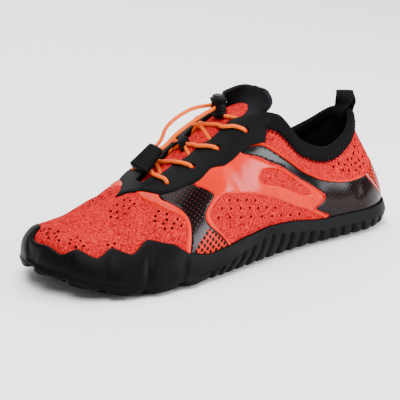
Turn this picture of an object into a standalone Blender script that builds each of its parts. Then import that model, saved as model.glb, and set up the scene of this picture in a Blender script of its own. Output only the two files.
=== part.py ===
"""A left water shoe, stood empty on its sole.

Metres, +Z up. The toe points to -X and the outer (lateral) side faces -Y. The origin is on the floor,
under the middle of the shoe. Every piece is lofted from one last: a ring of stations that runs from
the heel along the outer side to the toe and back along the inner side.
"""

import math

import bmesh
import bpy
import numpy as np
from mathutils import Matrix, Vector

# Main sizes of the shoe
LENGTH = 0.281
BALL_WIDTH = 0.1005
HEEL_WIDTH = 0.0685
HEEL_HEIGHT = 0.076
INSTEP_HEIGHT = 0.091
TOE_HEIGHT = 0.045
COLLAR_WIDTH = 0.052
THROAT_WIDTH = 0.028

# Thicknesses and clearances
WALL = 0.0018
CLEARANCE = 0.0003
SOLE_THICKNESS = 0.0077
INSOLE_THICKNESS = 0.004
RAND_THICKNESS = 0.0016
FOXING_THICKNESS = 0.0042
OVERLAY_THICKNESS = 0.0012
CUFF_THICKNESS = 0.0013
TONGUE_THICKNESS = 0.0032
TOE_SPRING = 0.0085
HEEL_SPRING = 0.003

# Sole side and tread
RAND_HEIGHT = 0.0325
RIB_PITCH = 0.0092
RIB_DEPTH = 0.0016
LUG_DEPTH = 0.0022
TREAD_INSET = 0.0035
POD_PITCH = 0.024

# Laces, cord lock, end clip and webbing loops
LACE_DIAMETER = 0.0026
EYELET_RADIUS = 0.0018
LOCK_HEIGHT = 0.015
LOCK_WIDTH = 0.012
LOCK_DEPTH = 0.0085
LOCK_BUTTON_HEIGHT = 0.0022
CLIP_LENGTH = 0.019
CLIP_WIDTH = 0.0165
CLIP_DEPTH = 0.0066
PULL_WIDTH = 0.012
PULL_HEIGHT = 0.0145
PULL_THICKNESS = 0.0014
KEEPER_WIDTH = 0.0078
KEEPER_LENGTH = 0.0085
KEEPER_THICKNESS = 0.0009

# Feather line of the upper, heel to toe. Shares: along of LENGTH, across of the width at that place
FEATHER = (
    # outer along, outer across, inner along, inner across
    (0.016, 0.000, 0.016, 0.000),
    (0.036, 0.299, 0.036, 0.299),
    (0.107, 0.474, 0.107, 0.467),
    (0.206, 0.511, 0.206, 0.489),
    (0.313, 0.524, 0.313, 0.481),
    (0.420, 0.503, 0.420, 0.433),
    (0.523, 0.487, 0.523, 0.406),
    (0.623, 0.507, 0.626, 0.433),
    (0.719, 0.537, 0.726, 0.463),
    (0.808, 0.522, 0.819, 0.448),
    (0.886, 0.448, 0.893, 0.383),
    (0.945, 0.289, 0.950, 0.249),
    (0.979, 0.020, 0.979, -0.020),
)

# Top line of the upper, heel to toe: collar, throat and then the ridge of the vamp.
# Shares: along of LENGTH, offset of BALL_WIDTH, heights of HEEL_, INSTEP_ and TOE_HEIGHT,
# half gaps of COLLAR_ and THROAT_WIDTH, lean and shoulder of BALL_WIDTH, rise and drop of INSTEP_HEIGHT
TOP_LINE = (
    # along, offset, heel, instep, toe, collar, throat, lean, rise, shoulder, drop
    (0.092, 0.000, 1.00, 0.00, 0.00, 0.000, 0.000, 0.080, 0.264, 0.000, 0.198),
    (0.103, 0.000, 0.97, 0.00, 0.00, 0.231, 0.000, 0.080, 0.242, 0.000, 0.198),
    (0.157, -0.005, 0.88, 0.00, 0.00, 0.423, 0.000, 0.060, 0.220, 0.020, 0.198),
    (0.235, -0.010, 0.84, 0.00, 0.00, 0.500, 0.000, 0.040, 0.198, 0.030, 0.176),
    (0.313, -0.010, 0.28, 0.60, 0.00, 0.400, 0.190, 0.040, 0.198, 0.040, 0.176),
    (0.377, -0.010, 0.00, 1.01, 0.00, 0.160, 0.450, 0.040, 0.198, 0.100, 0.154),
    (0.463, -0.015, 0.00, 0.99, 0.00, 0.000, 0.500, 0.040, 0.198, 0.179, 0.099),
    (0.552, -0.020, 0.00, 0.85, 0.00, 0.000, 0.430, 0.050, 0.198, 0.219, 0.077),
    (0.651, -0.020, 0.00, 0.692, 0.00, 0.000, 0.320, 0.050, 0.176, 0.259, 0.044),
    (0.740, -0.020, 0.00, 0.300, 0.58, 0.000, 0.000, 0.050, 0.165, 0.259, 0.022),
    (0.808, -0.020, 0.00, 0.120, 0.83, 0.000, 0.000, 0.050, 0.165, 0.239, 0.016),
    (0.861, -0.020, 0.00, 0.030, 0.95, 0.000, 0.000, 0.040, 0.165, 0.179, 0.011),
    (0.893, -0.020, 0.00, 0.000, 0.95, 0.000, 0.000, 0.030, 0.154, 0.149, 0.011),
)
# Pieces that hang from the laces
CORD_PIECES = ("lace_loop_outer", "lace_loop_inner", "lace_end_outer", "lace_end_inner", "cord_lock", "lace_clip")

HALF_RING = len(FEATHER) - 1
RING = 2 * HALF_RING

# Top edge of the rubber rand round the upper, as shares of the half ring and of RAND_HEIGHT
RAND_OUTER = (
    (0.00, 0.54),
    (0.12, 0.52),
    (0.30, 0.55),
    (0.385, 0.68),
    (0.44, 0.71),
    (0.50, 0.66),
    (0.555, 0.60),
    (0.60, 0.56),
    (0.65, 0.66),
    (0.69, 0.88),
    (0.74, 0.98),
    (0.78, 0.79),
    (0.825, 0.92),
    (0.858, 0.78),
    (0.905, 0.92),
    (0.937, 0.82),
    (0.975, 1.00),
    (1.00, 0.97),
)
RAND_INNER = (
    (0.00, 0.54),
    (0.12, 0.52),
    (0.30, 0.55),
    (0.385, 0.66),
    (0.44, 0.70),
    (0.52, 0.66),
    (0.60, 0.60),
    (0.66, 0.66),
    (0.71, 0.84),
    (0.76, 0.92),
    (0.80, 0.80),
    (0.85, 0.90),
    (0.885, 0.88),
    (0.91, 1.00),
    (0.94, 1.12),
    (0.98, 1.14),
    (0.995, 1.08),
    (1.00, 0.97),
)
# Height where the side ribs begin, as shares of the half ring and of RAND_HEIGHT
RIB_TOP = ((0.0, 0.32), (0.30, 0.34), (0.44, 0.58), (0.52, 0.42), (0.60, 0.22), (0.66, 0.17), (1.0, 0.17))
RIBBED_SHARE = 0.60
RIB_SLANT = ((0.10, -0.25), (0.30, 0.0), (0.55, 0.75), (0.62, 0.0))

EYESTAY_START = 0.420
# Overlay round the throat: its lower edge, as shares of the half ring and of the girth
EYESTAY_LOW = (
    (EYESTAY_START, 0.735),
    (0.49, 0.722),
    (0.526, 0.687),
    (0.549, 0.684),
    (0.584, 0.728),
    (0.612, 0.700),
    (0.658, 0.735),
    (0.693, 0.765),
    (0.730, 0.885),
    (0.765, 0.965),
    (0.790, 1.0),
)
# Swells of its inner edge: middle and half length as shares of the half ring, size as a share of the girth
EYESTAY_LOBES = ((0.522, 0.030, 0.050), (0.597, 0.015, 0.040), (0.651, 0.015, 0.035), (0.700, 0.010, 0.010))
THROAT_END = 0.725
CUFF_END = 0.408
CUFF_WIDTH = 0.0105

# Lacing, toe to ankle, as shares of the half ring: eyelet, place where the lace passes the throat
# edge, and place where it goes under the opposite edge
LACING = (
    (0.676, 0.692, 0.692),
    (0.621, 0.642, 0.686),
    (0.561, 0.600, 0.632),
    (0.488, 0.530, 0.568),
)
EYELET_GIRTH = 0.85

# Tongue: where it starts under the vamp and where it leaves the throat, as shares of the half ring
TONGUE_START = 0.755
TONGUE_HINGE = 0.462
TONGUE_CROWN = 0.28
# Its free top. Shares: along of LENGTH, height of INSTEP_HEIGHT, half width and wrap of BALL_WIDTH,
# edge drop of INSTEP_HEIGHT
TONGUE_TOP = (
    (0.4030, 1.060, 0.156, 0.020, 0.065),
    (0.3925, 1.090, 0.208, 0.040, 0.030),
    (0.3900, 1.125, 0.210, 0.040, 0.026),
    (0.3905, 1.155, 0.172, 0.028, 0.012),
    (0.3925, 1.172, 0.105, 0.010, 0.003),
)

# Loop of the lace between cord lock and end clip. Shares: along of LENGTH, height of INSTEP_HEIGHT
LOOP_OUTER = ((0.5085, 1.055), (0.546, 1.010), (0.606, 0.920), (0.640, 0.845))
LOOP_INNER = ((0.5085, 1.072), (0.550, 1.066), (0.594, 1.020), (0.623, 0.958), (0.637, 0.880))
LOOP_SPREAD = 0.0026
CLIP_PLACE = (0.681, 0.770)
CLIP_PITCH = 40
CLIP_ROLL = 12
# Heel pull, out from the rim and up, as shares of PULL_HEIGHT
PULL_LOOP = (
    (0.30, 0.28),
    (0.38, 0.60),
    (0.14, 0.90),
    (-0.26, 1.0),
    (-0.56, 0.80),
    (-0.60, 0.46),
    (-0.42, 0.16),
)

MAT = {}


def material(name, colour, roughness, metallic=0.0):
    mat = bpy.data.materials.new(name)
    mat.use_nodes = True
    shader = mat.node_tree.nodes["Principled BSDF"]
    shader.inputs["Base Color"].default_value = (*colour, 1.0)
    shader.inputs["Roughness"].default_value = roughness
    shader.inputs["Metallic"].default_value = metallic
    MAT[name] = mat


def smoothstep(x):
    x = np.clip(x, 0.0, 1.0)
    return x * x * (3 - 2 * x)


# Interpolation on the ring of stations


def ring_of(outer, inner):
    """One closed ring of rows: outer side from heel to toe, then inner side back to the heel."""
    return np.vstack([outer, inner[-2:0:-1]])


def catmull(ring, r):
    """Smooth closed curve through the rows of ring at the ring places r."""
    r = np.asarray(r, float) % RING
    i = np.floor(r).astype(int)
    f = (r - i)[..., None]
    p0, p1, p2, p3 = (ring[(i + k) % RING] for k in (-1, 0, 1, 2))
    return p1 + 0.5 * f * ((p2 - p0) + f * ((2 * p0 - 5 * p1 + 4 * p2 - p3) + f * (3 * (p1 - p2) + p3 - p0)))


def no_overshoot(ring, r):
    """As catmull, but flat where the rows are flat, for the gap of collar and throat."""
    r = np.asarray(r, float) % RING
    i = np.floor(r).astype(int)
    f = r - i
    step = np.roll(ring, -1) - ring
    before = np.roll(step, 1)
    same_way = step * before > 0
    slope = np.where(same_way, 2 * step * before / np.where(same_way, step + before, 1.0), 0.0)
    p1, p2 = ring[i % RING], ring[(i + 1) % RING]
    m1, m2 = slope[i % RING], slope[(i + 1) % RING]
    return (
        (2 * f**3 - 3 * f**2 + 1) * p1
        + (f**3 - 2 * f**2 + f) * m1
        + (3 * f**2 - 2 * f**3) * p2
        + (f**3 - f**2) * m2
    )


def ring_place(side, t):
    """Ring place of share t of the half ring. side is -1 outer, +1 inner."""
    t = np.asarray(t, float)
    return t * HALF_RING if side < 0 else RING - t * HALF_RING


def half_share(r):
    """Share of the half ring, 0 at the heel and 1 at the toe, and the side, of a ring place."""
    r = np.asarray(r, float) % RING
    outer = r <= HALF_RING
    return np.where(outer, r, RING - r) / HALF_RING, np.where(outer, -1.0, 1.0)


def width_at(along):
    """Width of the last at a share of LENGTH: HEEL_WIDTH behind, BALL_WIDTH in front."""
    return HEEL_WIDTH + (BALL_WIDTH - HEEL_WIDTH) * smoothstep((along - 0.30) / 0.32)


def feather_ring():
    rows = np.array(FEATHER)
    outer = np.stack([rows[:, 0] * LENGTH, -rows[:, 1] * width_at(rows[:, 0])], 1)
    inner = np.stack([rows[:, 2] * LENGTH, rows[:, 3] * width_at(rows[:, 2])], 1)
    return ring_of(outer, inner)


def top_rings():
    rows = np.array(TOP_LINE)
    height = rows[:, 2] * HEEL_HEIGHT + rows[:, 3] * INSTEP_HEIGHT + rows[:, 4] * TOE_HEIGHT
    shape = np.stack(
        [
            rows[:, 0] * LENGTH,
            rows[:, 1] * BALL_WIDTH,
            height,
            rows[:, 7] * BALL_WIDTH,
            rows[:, 8] * INSTEP_HEIGHT,
            rows[:, 9] * BALL_WIDTH,
            rows[:, 10] * INSTEP_HEIGHT,
        ],
        1,
    )
    gap = (rows[:, 5] * COLLAR_WIDTH + rows[:, 6] * THROAT_WIDTH)[:, None]
    return ring_of(shape, shape), ring_of(-gap, gap)[:, 0]


FEATHER_RING = feather_ring()
TOP_RING, GAP_RING = top_rings()


def spring(along):
    """How far the underside lifts off the floor, at a distance from the back of the heel."""
    share = along / LENGTH
    toe = TOE_SPRING * np.clip((share - 0.80) / 0.20, 0, 1.2) ** 1.6
    heel = HEEL_SPRING * np.clip((0.07 - share) / 0.07, 0, 1) ** 1.5
    return toe + heel


def bed_height(along):
    return SOLE_THICKNESS + spring(along)


def on_bed(points, lift):
    """The points at a lift over the bed, the flat top of the sole that the foot stands on."""
    points = np.array(points)
    points[..., 2] = bed_height(points[..., 0]) + lift
    return points


def feather(r):
    """Point of the feather line, in (distance from heel, across, height)."""
    plan = catmull(FEATHER_RING, r)
    return np.stack([plan[..., 0], plan[..., 1], bed_height(plan[..., 0]) + CLEARANCE], -1)


def outward(r):
    """Level unit vector that points out of the shoe at a ring place."""
    step = 0.02
    along = catmull(FEATHER_RING, r + step) - catmull(FEATHER_RING, r - step)
    out = np.stack([along[..., 1], -along[..., 0], np.zeros(np.shape(r))], -1)
    return out / np.linalg.norm(out, axis=-1, keepdims=True)


def skin(r, v):
    """Outer face of the upper at ring place r and girth v, 0 at the feather line and 1 at the top line."""
    r, v = np.broadcast_arrays(np.asarray(r, float), np.asarray(v, float))
    low = feather(r)
    shape = catmull(TOP_RING, r)
    top = np.stack([shape[..., 0], shape[..., 1] + no_overshoot(GAP_RING, r), shape[..., 2]], -1)
    out = outward(r)
    low_handle = low + out * shape[..., 3:4]
    low_handle[..., 2] += shape[..., 4]
    away = low - top
    away[..., 2] = 0
    away /= np.linalg.norm(away, axis=-1, keepdims=True)
    top_handle = top + away * shape[..., 5:6]
    top_handle[..., 2] -= shape[..., 6]
    v = v[..., None]
    lower = (1 - v) ** 3 * low + 3 * (1 - v) ** 2 * v * low_handle
    return lower + 3 * (1 - v) * v * v * top_handle + v**3 * top


def raw_normal(r, v):
    dr, dv = 0.01, 0.002
    along = skin(r + dr, v) - skin(r - dr, v)
    up = skin(r, v + dv) - skin(r, v - dv)
    normal = np.cross(along, up)
    return normal / np.linalg.norm(normal, axis=-1, keepdims=True)


def skin_normal(r, v):
    """Outward normal, shared by both sides along the closed ridge of the vamp."""
    r, v = np.broadcast_arrays(np.asarray(r, float), np.asarray(v, float))
    normal = raw_normal(r, v)
    closed = (np.abs(no_overshoot(GAP_RING, r)) < 1e-7) & (v > 0.999)
    shared = normal + raw_normal(RING - r, v)
    shared /= np.linalg.norm(shared, axis=-1, keepdims=True)
    return np.where(closed[..., None], shared, normal)


def offset_skin(r, v, offset):
    return skin(r, v) + skin_normal(r, v) * np.asarray(offset, float)[..., None]


def place(points):
    """From (distance from heel, across, height) to the shoe's own frame."""
    points = np.asarray(points, float)
    return np.stack([LENGTH / 2 - points[..., 0], points[..., 1], points[..., 2]], -1)


# Mesh helpers


def finish(obj, mat, collection="water_shoe"):
    bpy.data.collections[collection].objects.link(obj)
    obj.data.materials.clear()
    obj.data.materials.append(MAT[mat])
    return obj


def clean_faces(faces):
    """Faces with repeated corners dropped, as at the ends of a grid that closes to a point."""
    kept = []
    for face in faces:
        corners = [c for k, c in enumerate(face) if c != face[k - 1]]
        if len(set(corners)) == len(corners) > 2:
            kept.append(corners)
    return kept


def mesh_object(name, points, faces, mat, smooth_angle=40):
    """A closed solid from points in the last's coordinates, with doubled points welded."""
    mesh = bpy.data.meshes.new(name)
    bm = bmesh.new()
    verts = [bm.verts.new(p) for p in place(points)]
    for face in faces:
        bm.faces.new([verts[c] for c in face])
    bmesh.ops.remove_doubles(bm, verts=bm.verts, dist=1e-6)
    loose = [v for v in bm.verts if not v.link_faces]
    bmesh.ops.delete(bm, geom=loose, context="VERTS")
    bmesh.ops.triangulate(bm, faces=bm.faces)
    bmesh.ops.recalc_face_normals(bm, faces=bm.faces)
    bm.to_mesh(mesh)
    bm.free()
    mesh.shade_smooth()
    mesh.set_sharp_from_angle(angle=math.radians(smooth_angle))
    obj = bpy.data.objects.new(name, mesh)
    return finish(obj, mat)


def shell(name, points, faces, thickness, side, mat):
    """An open sheet given thickness by Solidify: side -1 grows inwards, 1 outwards."""
    mesh = bpy.data.meshes.new(name)
    bm = bmesh.new()
    verts = [bm.verts.new(p) for p in place(points)]
    for face in clean_faces(faces):
        # place() mirrors the frame, so the corners run the other way round to face outwards
        bm.faces.new([verts[c] for c in reversed(face)])
    bmesh.ops.remove_doubles(bm, verts=bm.verts, dist=1e-6)
    loose = [v for v in bm.verts if not v.link_faces]
    bmesh.ops.delete(bm, geom=loose, context="VERTS")
    bmesh.ops.triangulate(bm, faces=bm.faces, quad_method="FIXED")
    bm.to_mesh(mesh)
    bm.free()
    mesh.shade_smooth()
    mesh.set_sharp_from_angle(angle=math.radians(50))
    obj = bpy.data.objects.new(name, mesh)
    solidify = obj.modifiers.new("wall", "SOLIDIFY")
    solidify.thickness = thickness
    solidify.offset = side
    solidify.use_even_offset = False
    return finish(obj, mat)


def grid_faces(index, closed=False):
    """Quads of a grid of point numbers. A closed grid joins its last column to its first."""
    rows, columns = index.shape
    faces = []
    for i in range(rows - 1):
        for j in range(columns if closed else columns - 1):
            k = (j + 1) % columns
            faces.append((index[i, j], index[i, k], index[i + 1, k], index[i + 1, j]))
    return faces


def coarse_ring(index, points, start, step):
    """A ring with fewer columns next to a fine one: new points, and their number under each column."""
    n = len(index)
    half = n // 2
    kept = np.unique([*range(0, half - step // 2, step), half])
    fold = np.array([min(j, n - j) for j in range(n)])
    nearest = kept[np.abs(fold[:, None] - kept[None, :]).argmin(axis=1)]
    source = np.where(np.arange(n) <= half, nearest, (n - nearest) % n)
    used, place_of = np.unique(source, return_inverse=True)
    order = np.argsort(used)
    return points[used], start + place_of, start + order


def cap_faces(index):
    """Strips that close a ring of points, which pairs its outer and inner side from heel to toe."""
    half = len(index) // 2
    faces = []
    for j in range(half):
        a, b = index[j], index[(j + 1) % len(index)]
        c, d = index[-j - 1], index[-j % len(index)]
        faces.append((a, b, c, d))
    return faces


def boolean(obj, other, operation):
    modifier = obj.modifiers.new(other.name, "BOOLEAN")
    modifier.operation = operation
    modifier.solver = "EXACT"
    modifier.use_self = operation == "UNION"
    modifier.object = other


def tube(name, points, diameter, mat, sides=2):
    """A round cord along smooth points in the last's coordinates."""
    curve = bpy.data.curves.new(name, "CURVE")
    curve.dimensions = "3D"
    curve.bevel_depth = diameter / 2
    curve.bevel_resolution = sides
    curve.use_fill_caps = True
    spline = curve.splines.new("POLY")
    spline.points.add(len(points) - 1)
    for point, co in zip(spline.points, place(points)):
        point.co = (*co, 1.0)
    obj = bpy.data.objects.new(name, curve)
    return finish(obj, mat)


def as_mesh(obj):
    """The curve object as a welded mesh object of the same name."""
    bpy.context.view_layer.update()
    graph = bpy.context.evaluated_depsgraph_get()
    mesh = bpy.data.meshes.new_from_object(obj.evaluated_get(graph))
    bm = bmesh.new()
    bm.from_mesh(mesh)
    bmesh.ops.remove_doubles(bm, verts=bm.verts, dist=1e-6)
    bm.to_mesh(mesh)
    bm.free()
    name = obj.name
    world = obj.matrix_world.copy()
    materials = [m for m in obj.data.materials]
    collection = obj.users_collection[0]
    bpy.data.objects.remove(obj)
    new = bpy.data.objects.new(name, mesh)
    new.matrix_world = world
    mesh.materials.clear()
    for m in materials:
        mesh.materials.append(m)
    collection.objects.link(new)
    return new


def smooth_path(points, step):
    """Even points along a smooth open curve through the given points."""
    p = np.asarray(points, float)
    ends = np.vstack([2 * p[0] - p[1], p, 2 * p[-1] - p[-2]])
    fine = []
    for i in range(len(p) - 1):
        f = np.linspace(0, 1, 24, endpoint=False)[:, None]
        p0, p1, p2, p3 = ends[i : i + 4]
        fine.append(
            p1 + 0.5 * f * ((p2 - p0) + f * ((2 * p0 - 5 * p1 + 4 * p2 - p3) + f * (3 * (p1 - p2) + p3 - p0)))
        )
    fine = np.vstack([*fine, p[-1:]])
    run = np.concatenate([[0], np.cumsum(np.linalg.norm(np.diff(fine, axis=0), axis=1))])
    count = max(3, int(round(run[-1] / step)) + 1)
    even = np.linspace(0, run[-1], count)
    return np.stack([np.interp(even, run, fine[:, k]) for k in range(3)], 1)


# The upper


UPPER_GIRTHS = (0.0, 0.11, 0.23, 0.42, 0.64, 0.84, 1.0)


def throat_columns():
    """Half-ring shares of the columns round the throat, shared by upper, eyestay and tongue."""
    return np.linspace(EYESTAY_START, EYESTAY_LOW[-1][0], 24)


def cuff_columns():
    """Half-ring shares of the columns along the collar, shared by upper and cuff."""
    return np.concatenate([np.linspace(0, 0.12, 6), np.linspace(0.12, CUFF_END, 12)[1:]])


def both_sides(half):
    """Ring places of the columns, out along the outer side and back along the inner side."""
    return np.concatenate([ring_place(-1, half), ring_place(1, half[-2:0:-1])])


def girth_at_height(r, height):
    """Girth share where the skin reaches a height, for each ring place."""
    shares = np.linspace(0, 1, 41)
    heights = skin(r[:, None], shares[None, :])[..., 2]
    found = []
    for h, row in zip(height, heights):
        rising = row.argmax() + 1
        found.append(np.interp(h, row[:rising], shares[:rising]))
    return np.array(found)


def make_upper():
    """One hollow wall, open at collar, throat and underneath, with the eyelets punched through."""
    front = np.concatenate([np.linspace(EYESTAY_LOW[-1][0], 0.9, 5)[1:], np.linspace(0.9, 1.0, 6)[1:]])
    r = both_sides(np.concatenate([cuff_columns(), throat_columns(), front]))
    v = np.array(UPPER_GIRTHS)
    rr, vv = np.meshgrid(r, v)
    index = np.arange(rr.size).reshape(rr.shape)
    for j in np.flatnonzero(np.abs(no_overshoot(GAP_RING, r)) < 1e-7):
        index[-1, j] = min(index[-1, j], index[-1, (len(r) - j) % len(r)])
    points = skin(rr, vv).reshape(-1, 3)
    obj = shell("upper", points, grid_faces(index, closed=True), WALL, -1, "mesh_fabric")
    punch_eyelets(obj)
    return obj


def eyelet_frames():
    """Centre and outward normal of each eyelet on the upper's skin, outer side then inner side."""
    frames = []
    for side in (-1, 1):
        for t, _, _ in LACING:
            r = float(ring_place(side, t))
            frames.append((skin(r, EYELET_GIRTH), skin_normal(r, EYELET_GIRTH)))
    return frames


def punch_eyelets(obj):
    """Eight round holes through a piece, square to the skin."""
    for number, (centre, normal) in enumerate(eyelet_frames()):
        depth = 4 * (WALL + OVERLAY_THICKNESS)
        bpy.ops.mesh.primitive_cylinder_add(vertices=8, radius=EYELET_RADIUS, depth=depth)
        cutter = bpy.context.object
        cutter.name = f"{obj.name}_punch_{number}"
        direction = Vector(place(centre + normal) - place(centre))
        turn = direction.to_track_quat("Z", "Y").to_matrix().to_4x4()
        cutter.matrix_world = Matrix.Translation(Vector(place(centre))) @ turn
        for c in list(cutter.users_collection):
            c.objects.unlink(cutter)
        bpy.data.collections["cutters"].objects.link(cutter)
        cutter.hide_render = True
        cutter.display_type = "WIRE"
        boolean(obj, cutter, "DIFFERENCE")


# The sole


def rand_height(r):
    t, side = half_share(r)
    outer, inner = np.array(RAND_OUTER), np.array(RAND_INNER)
    share = np.where(side < 0, smooth_rows(outer, t), smooth_rows(inner, t))
    return share * RAND_HEIGHT


def smooth_rows(rows, t):
    """Eased steps between the rows, so that each row is a crest, a trough or a level."""
    i = np.clip(np.searchsorted(rows[:, 0], t, side="right") - 1, 0, len(rows) - 2)
    f = (t - rows[i, 0]) / (rows[i + 1, 0] - rows[i, 0])
    f = 0.5 * f + 0.5 * smoothstep(f)
    return rows[i, 1] + (rows[i + 1, 1] - rows[i, 1]) * f


def table_at(rows, t):
    rows = np.array(rows)
    return np.interp(t, rows[:, 0], rows[:, 1])


def side_wall(r, height, thickness):
    """Points on the outside of the sole at a height: it follows the upper above the feather line."""
    low = feather(r)
    above = height > low[:, 2]
    v = girth_at_height(r, np.maximum(height, low[:, 2]))
    on_skin = offset_skin(r, v, CLEARANCE + thickness)
    below = low + outward(r) * (CLEARANCE + thickness)[:, None]
    below[:, 2] = height
    return np.where(above[:, None], on_skin, below)


def column_places():
    """Half-ring shares of the sole's columns: three to each rib behind the ball, even ones in front."""
    t = np.linspace(0, 1, 600)
    plan = catmull(FEATHER_RING, ring_place(-1, t))
    run = np.concatenate([[0], np.cumsum(np.linalg.norm(np.diff(plan, axis=0), axis=1))])
    ribbed = np.interp(RIBBED_SHARE, t, run)
    ribs = int(round(ribbed / RIB_PITCH))
    pitch = ribbed / ribs
    marks = [(k + f) * pitch for k in range(ribs) for f in (0.0, 0.22, 0.78)]
    groove = [1.0 if k % 3 == 0 else 0.0 for k in range(len(marks))]
    front = np.linspace(ribbed, run[-1], 25)
    pods = max(1, int(round((run[-1] - ribbed) / POD_PITCH)))
    phase = (front - ribbed) / (run[-1] - ribbed) * pods
    near_notch = np.abs(phase - np.round(phase)) < 0.13
    shares = np.concatenate([np.interp(marks, run, t), np.interp(front, run, t)])
    depth = np.concatenate([groove, np.where(near_notch, 1.0, 0.0)])
    return shares, depth, pitch / run[-1]


def make_outsole():
    """The rubber cup: tread, ribbed side, and the thin wavy rand that laps onto the upper."""
    half, groove, pitch_share = column_places()
    t = np.concatenate([half, half[-2:0:-1]])
    r = both_sides(half)
    groove = np.concatenate([groove, groove[-2:0:-1]])
    rand = rand_height(r)
    low = feather(r)
    full = np.full(r.shape, FOXING_THICKNESS)
    rib_top = np.maximum(table_at(RIB_TOP, t) * RAND_HEIGHT, 0.25 * low[:, 2]) + spring(low[:, 0])

    def shifted(r_now, share_down):
        slant = table_at(RIB_SLANT, t) * pitch_share * HALF_RING * share_down
        return r_now + np.where(half_share(r_now)[1] < 0, slant, -slant)

    def ribs_at(height, share_down, thickness, cut):
        return side_wall(shifted(r, share_down), height, full * thickness - cut * groove * RIB_DEPTH)

    def upper_part(share):
        height = rib_top + (rand - rib_top) * share
        thickness = FOXING_THICKNESS + (RAND_THICKNESS - FOXING_THICKNESS) * share
        return side_wall(r, height, thickness * np.ones(r.shape))

    floor = spring(low[:, 0])
    root = floor + LUG_DEPTH
    top_girth = girth_at_height(r, rand)
    bed_edge = on_bed(low + outward(r) * CLEARANCE, 0.0)
    rows = [
        bed_edge,
        offset_skin(r, np.minimum(UPPER_GIRTHS[1], 0.5 * top_girth), np.full(r.shape, CLEARANCE)),
        offset_skin(r, np.minimum(UPPER_GIRTHS[2], 0.75 * top_girth), np.full(r.shape, CLEARANCE)),
        offset_skin(r, np.minimum(UPPER_GIRTHS[3], 0.9 * top_girth), np.full(r.shape, CLEARANCE)),
        offset_skin(r, top_girth, np.full(r.shape, CLEARANCE)),
        upper_part(1.0),
        upper_part(0.45),
        upper_part(0.0),
        ribs_at(rib_top - 0.0006, 0.0, 1.02, 1.0),
        ribs_at(floor + (rib_top - floor) * 0.45, 0.5, 1.0, 1.0),
        ribs_at(root, 1.0, 0.45, 0.6),
    ]
    points = np.vstack(rows)
    index = np.arange(len(points)).reshape(len(rows), len(r))
    faces = grid_faces(index, closed=True)
    bed_edge = on_bed(bed_edge - outward(r) * TREAD_INSET, 0)
    bed_points, bed_under, bed_ring = coarse_ring(index[0], bed_edge, len(points), 3)
    points = np.vstack([points, bed_points])
    floor_ring_place = on_bed(rows[-1] - outward(r) * TREAD_INSET, LUG_DEPTH - SOLE_THICKNESS)
    floor_points, floor_under, floor_ring = coarse_ring(index[-1], floor_ring_place, len(points), 3)
    points = np.vstack([points, floor_points])
    faces += grid_faces(np.array([bed_under, index[0]]), closed=True)
    faces += grid_faces(np.array([index[-1], floor_under]), closed=True)
    faces += [tuple(reversed(f)) for f in cap_faces(bed_ring)] + cap_faces(floor_ring)
    obj = mesh_object("outsole", points, clean_faces(faces), "rubber", smooth_angle=30)
    boolean(obj, make_tread(), "UNION")
    return obj


def inset_feather(t, side, inset):
    """Point of the feather line moved level towards the inside."""
    r = ring_place(side, t)
    return feather(r) - outward(r) * inset


def tread_block(corners, top):
    """Eight or more points of one lug: its outline on the ground and again inside the sole."""
    low = np.array(corners)
    low[:, 2] = spring(low[:, 0])
    high = low.copy()
    high[:, 2] += top
    return low, high


def make_tread():
    """Main lugs: a pad under each toe, then bars across the foot with a flex groove along the middle."""
    points, faces = [], []

    def add(corners):
        low, high = tread_block(corners, LUG_DEPTH + 0.4 * (SOLE_THICKNESS - LUG_DEPTH))
        start = sum(len(p) for p in points)
        n = len(low)
        points.extend([low, high])
        faces.append([start + k for k in range(n)])
        faces.append([start + n + k for k in reversed(range(n))])
        for k in range(n):
            m = (k + 1) % n
            faces.append([start + m, start + k, start + n + k, start + n + m])

    toe_marks = [(-1, 0.835), (-1, 0.885), (-1, 0.935), (-1, 0.98), (1, 0.975), (1, 0.88)]
    for (side_a, t_a), (side_b, t_b) in zip(toe_marks, toe_marks[1:]):
        shrink = 0.006
        a = float(ring_place(side_a, t_a)) % RING + shrink * HALF_RING
        b = float(ring_place(side_b, t_b)) % RING - shrink * HALF_RING
        edge = np.linspace(a, b, 3)
        outer = feather(edge) - outward(edge) * TREAD_INSET
        inner = feather(edge[::-1]) - outward(edge[::-1]) * (TREAD_INSET + 0.019)
        add(np.vstack([outer, inner]))
    bars = np.concatenate([np.linspace(0.075, 0.28, 5), np.linspace(0.345, 0.52, 4), np.linspace(0.585, 0.79, 5)])
    bar_width = 0.036
    for t in bars:
        for side in (-1, 1):
            edge = np.array([t, t + bar_width])
            outside = inset_feather(edge, side, TREAD_INSET)
            other = inset_feather(edge, -side, TREAD_INSET)
            middle = (outside + other) / 2
            groove = 0.0015 * side
            middle[:, 1] += groove
            add(np.vstack([outside, middle[::-1]]))
    obj = mesh_object("tread", np.vstack(points), faces, "rubber")
    bpy.data.collections["water_shoe"].objects.unlink(obj)
    bpy.data.collections["cutters"].objects.link(obj)
    obj.hide_render = True
    obj.display_type = "WIRE"
    return obj


def make_insole():
    """A flat cushioned sole that lies on the bed, inside the upper."""
    half = column_places()[0]
    r = both_sides(half[sorted({*range(0, len(half) - 2, 3), len(half) - 1})])
    edge = feather(r) - outward(r) * (WALL + 4 * CLEARANCE)
    bottom = on_bed(edge, CLEARANCE)
    top = on_bed(edge, CLEARANCE + INSOLE_THICKNESS)
    points = np.vstack([bottom, top])
    index = np.arange(len(points)).reshape(2, len(r))
    faces = grid_faces(index, closed=True)
    faces += [tuple(reversed(f)) for f in cap_faces(index[0])] + cap_faces(index[1])
    return mesh_object("insole", points, clean_faces(faces), "insole_foam")


# Overlays on the upper


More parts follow.
